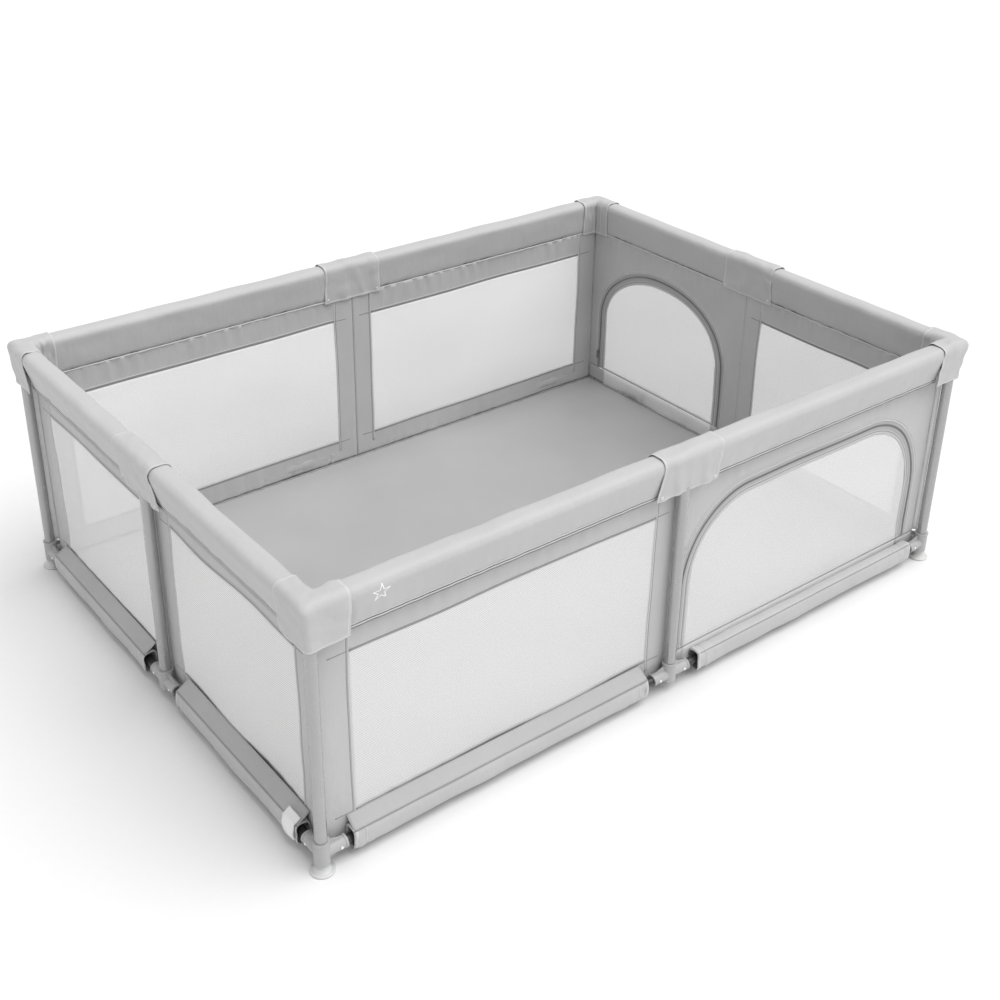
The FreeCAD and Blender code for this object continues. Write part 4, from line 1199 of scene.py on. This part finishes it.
def floor():
    """The floor sheet: flat, with slow swells and a slight lift towards the walls."""
    half_x, half_y = HALF_LENGTH - WALL_INSET - CLOTH, HALF_WIDTH - WALL_INSET - CLOTH
    x, y = spaced(-half_x, half_x, step=TRIM_STEP), spaced(-half_y, half_y, step=TRIM_STEP)
    xx, yy = np.meshgrid(x, y, indexing="ij")
    edge = np.minimum(half_x - np.abs(xx), half_y - np.abs(yy))
    swell = unevenness(xx, yy, 71, 0.45) * 0.0009 * smooth(edge / 0.15)
    tucks = pleats(xx + yy * 0.3, 73, 0.05) * 0.0006 * np.exp(-edge / 0.04)
    z = FLOOR_TOP - CLOTH / 2 + swell + tucks
    p = np.stack([xx, yy, z], axis=-1)
    sheet = Work().grid(p, x, y).build("floor_sheet_cloth", floor_cloth, slot="floor_fabric")
    thickened(sheet, CLOTH)
    # Dark cords round the floor's edge: painted shade in the seam where the floor meets the walls.
    seam_shade_strips = Work()
    a, b = half_x - SEAM_INSET, half_y - SEAM_INSET
    corners = [np.array([u * a, v * b, FLOOR_TOP + 0.0004]) for u, v in ((-1, -1), (1, -1), (1, 1), (-1, 1))]
    for start, end in zip(corners, corners[1:] + corners[:1]):
        t = np.linspace(0, 1, 60)[:, None]
        seam_shade_strips.strip(start * (1 - t) + end * t, (0.0, 0.0, 1.0), 0.0060, 0.0024, square=0.7)
    seam = seam_shade_strips.build("floor_seam_shade", seam_shade_cloth, slot="floor_fabric")
    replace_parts(sheet, "floor_sheet")
    2 * half_y
    2 * half_x


FOOT_RADIUS = half_size("suction_foot_front_left", 0)
FOOT_TOP = ends("suction_foot_front_left", 2)[1]


def foot(corner):
    """A turned rubber cup: a profile of radius and height carried round the post, with a thin lip, two
    raised rings, a waisted neck and a hollow below. The rim waves by a third of a millimetre."""
    profile = np.array([
        (0.0002, 0.0085), (0.0080, 0.0082), (0.0150, 0.0062), (0.0215, 0.0030), (0.0255, 0.0006),
        (0.0272, 0.0001), (0.0280, 0.0008), (0.0278, 0.0022), (0.0262, 0.0030), (0.0248, 0.0036),
        (0.0240, 0.0046), (0.0230, 0.0047), (0.0222, 0.0042), (0.0195, 0.0062), (0.0172, 0.0088),
        (0.0155, 0.0118), (0.0150, 0.0132), (0.0140, 0.0136), (0.0132, 0.0150), (0.0128, 0.0185),
        (0.0130, 0.0212), (0.0126, 0.0219), (0.0060, 0.0220), (0.0060, FOOT_TOP - 0.001), (0.0052, FOOT_TOP),
        (0.0002, FOOT_TOP),
    ])
    profile[:, 0] *= FOOT_RADIUS / 0.028
    line = evenly(profile, 0.0011)
    turn = np.linspace(0, 2 * np.pi, 65)[:-1]
    radius, height = line[:, 0][:, None], line[:, 1][:, None]
    rim = smooth((radius - 0.020) / 0.008)
    lift = 0.0003 * rim * (1 + np.sin(5 * turn + CORNERS[corner]["seed"])) * (height > 0.0004)
    p = np.stack([
        radius * np.cos(turn)[None], radius * np.sin(turn)[None], np.maximum(height + lift, 0.0001),
    ], axis=-1)
    p = p + np.array([CORNERS[corner]["x"] * HALF_LENGTH, CORNERS[corner]["y"] * HALF_WIDTH, 0.0])
    p[0], p[-1] = p[0].mean(axis=0), p[-1].mean(axis=0)
    work = Work().grid(p, lengths(line), turn.tolist() + [2 * np.pi], around=True)
    cup = work.build(f"rubber_foot_{corner}", foot_rubber, slot="foot_rubber")
    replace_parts(cup, f"suction_foot_{corner}")


LABEL_CLOTH = 0.0005
LABEL_BEND = 0.006


def label():
    """A blank folded label sewn over the left sleeve: down the outer face, and its fold laid over the top."""
    low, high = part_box("care_label")
    face_x, top = low[0], SLEEVE_TOP
    y = spaced(low[1], high[1], step=0.004)
    drop = top - low[2] - LABEL_BEND
    for layer, reach in enumerate((1.0, 0.86)):
        down = np.linspace(0, 1, 14)
        out = 0.0010 * layer + 0.0007
        belly = 0.003 * np.sin(np.pi * down) ** 2 * (0.4 + layer * 0.3) + 0.002 * down
        face = np.stack([face_x + 0.0012 - out - belly, top - LABEL_BEND - drop * reach * down], axis=1)
        turn = np.linspace(0, np.pi / 2, 8)[:-1]
        round_top = LABEL_BEND * np.stack([-np.sin(turn), np.cos(turn)], axis=1)
        bend = np.array([face[0, 0] + LABEL_BEND, top + out - LABEL_BEND]) + round_top
        lap = np.array([[bend[0, 0] + 0.012, top + out + 0.009]])
        line = evenly(np.concatenate([lap, bend, face]), 0.003)
        run = lengths(line)
        curl = 0.0018 * np.sin(np.pi * (y - y[0]) / (y[-1] - y[0])) * (1 + layer)
        wave = curl[:, None] * smooth((run / run[-1] - 0.45) / 0.5)[None, :]
        across = np.broadcast_to(y[:, None], wave.shape)
        height = np.broadcast_to(line[None, :, 1], wave.shape)
        p = np.stack([line[None, :, 0] - wave, across, height], axis=-1)
        name = ("label_back_leaf", "label_front_leaf")[layer]
        leaf = Work().grid(p, y, run).build(name, label_cloth, slot="label")
        thickened(leaf, LABEL_CLOTH)
        if layer == 0:
            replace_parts(leaf, "care_label")


# ---- building the pen ----
def dress(node, material):
    """Puts one material on every slot of a CAD node."""
    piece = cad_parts[node]
    if not piece.material_slots:
        piece.data.materials.append(material)
    for slot in piece.material_slots:
        slot.material = material


def dress_hard_parts():
    """Finishes for the tubes, connectors, buttons and zip metal, which keep their own shapes."""
    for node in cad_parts:
        if node.startswith(("corner_post", "mid_post")):
            dress(node, post_paint)
        elif node.startswith("bottom_rails"):
            dress(node, rail_paint)
        elif "connector" in node:
            dress(node, connector_plastic)
        elif node.startswith("snap_buttons"):
            dress(node, button_paint)
        elif node.startswith(("front_zip", "side_zip")):
            dress(node, zip_metal)
        elif node == "top_rail_tubes":
            dress(node, hidden_steel)


def build_pen():
    """Every piece of the pen; the CAD nodes that each first piece of a kind stands for are hidden."""
    dress_hard_parts()
    for side in SIDES:
        covers = [rail_cover(side, bay, sign) for bay, sign in BAYS.items()]
        inside = ["rail_foam_pads"] if side == "front" else []
        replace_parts(covers[0], f"rail_covers_{side}", *inside)
        cover_cords(side)
        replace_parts(mid_wrap(side), f"mid_wrap_{side}")
        fabric, nets = [], []
        for bay, sign in BAYS.items():
            if side in DOORS and sign > 0:
                wall, tape = door_bay(side, bay, sign)
                door_flap(side)
                if side == "front":
                    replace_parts(tape, "zip_tapes")
            else:
                wall, net = window_bay(side, bay, sign)
                nets.append(net)
            fabric.append(wall)
            made = sleeve(side, bay, sign)
            if side not in DOORS or sign < 0:
                lower_slope(side, bay, sign)
            if side == "front" and sign < 0:
                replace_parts(made, "rail_sleeves")
        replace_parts(fabric[0], f"wall_fabric_{side}")
        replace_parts(nets[0], f"window_mesh_{side}")
    for corner in CORNERS:
        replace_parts(corner_wrap(corner), f"corner_wrap_{corner}")
        foot(corner)
    floor()
    label()


# ---- camera, light and floor ----
CAMERA_PLACE = (-2.0591, -2.6312, 2.1952)
CAMERA_YAW, CAMERA_PITCH, CAMERA_ROLL = 0.66946, 0.46754, 0.01545
CAMERA_LENS, CAMERA_SHIFT_UP = 50.41, -0.1
AMBIENT = 0.65
LAMP_POWER, LAMP_ANGLE, LAMP_TOWARD = 2.3, 60, (0.28, -0.33, 0.90)
PAPER_HALF, PAPER_DROP = 40.0, 0.0006


def set_camera():
    """A camera that looks down on the pen over its near corner: turned right by its yaw, down by its pitch
    and rolled about its own line of sight."""
    yaw, pitch, roll = CAMERA_YAW, CAMERA_PITCH, CAMERA_ROLL
    look = Vector((math.sin(yaw) * math.cos(pitch), math.cos(yaw) * math.cos(pitch), -math.sin(pitch)))
    level_right = look.cross(Vector((0, 0, 1))).normalized()
    level_up = level_right.cross(look)
    right = level_right * math.cos(roll) + level_up * math.sin(roll)
    up = level_up * math.cos(roll) - level_right * math.sin(roll)
    turn = Matrix((right, up, -look)).transposed().to_4x4()
    lens = bpy.data.cameras.new("camera")
    lens.lens, lens.sensor_width = CAMERA_LENS, 36.0
    lens.shift_y = CAMERA_SHIFT_UP
    lens.clip_end = 100.0
    camera = bpy.data.objects.new("camera", lens)
    camera.matrix_world = Matrix.Translation(Vector(CAMERA_PLACE)) @ turn
    bpy.context.scene.collection.objects.link(camera)
    bpy.context.scene.camera = camera


def studio():
    """A white surround, one wide lamp and a pale paper floor."""
    set_camera()
    world = bpy.data.worlds.new("studio")
    world.use_nodes = True
    world.node_tree.nodes["Background"].inputs[0].default_value = (1.0, 1.0, 1.0, 1.0)
    world.node_tree.nodes["Background"].inputs[1].default_value = AMBIENT
    bpy.context.scene.world = world

    sun = bpy.data.lights.new("wide lamp", "SUN")
    sun.energy, sun.angle = LAMP_POWER, math.radians(LAMP_ANGLE)
    lamp = bpy.data.objects.new("wide lamp", sun)
    toward = Vector(LAMP_TOWARD).normalized()
    lamp.rotation_euler = toward.to_track_quat("Z", "Y").to_euler()
    bpy.context.scene.collection.objects.link(lamp)

    paper = Paint("studio paper")
    fibre = paper.noise(paper.place(), 60.0, 2.0)
    paper.shade(Base_Color=paper.mix(fibre, grey(0.82), grey(0.84)), Roughness=0.9, Specular_IOR_Level=0.0)
    mesh = bpy.data.meshes.new("studio floor")
    corners = ((-1, -1), (1, -1), (1, 1), (-1, 1))
    mesh.from_pydata([(x * PAPER_HALF, y * PAPER_HALF, -PAPER_DROP) for x, y in corners], [], [(0, 1, 2, 3)])
    mesh.materials.append(paper.material)
    ground = bpy.data.objects.new("studio_floor", mesh)
    bpy.context.scene.collection.objects.link(ground)
    bpy.context.scene.view_settings.view_transform = "Standard"


studio()
build_pen()
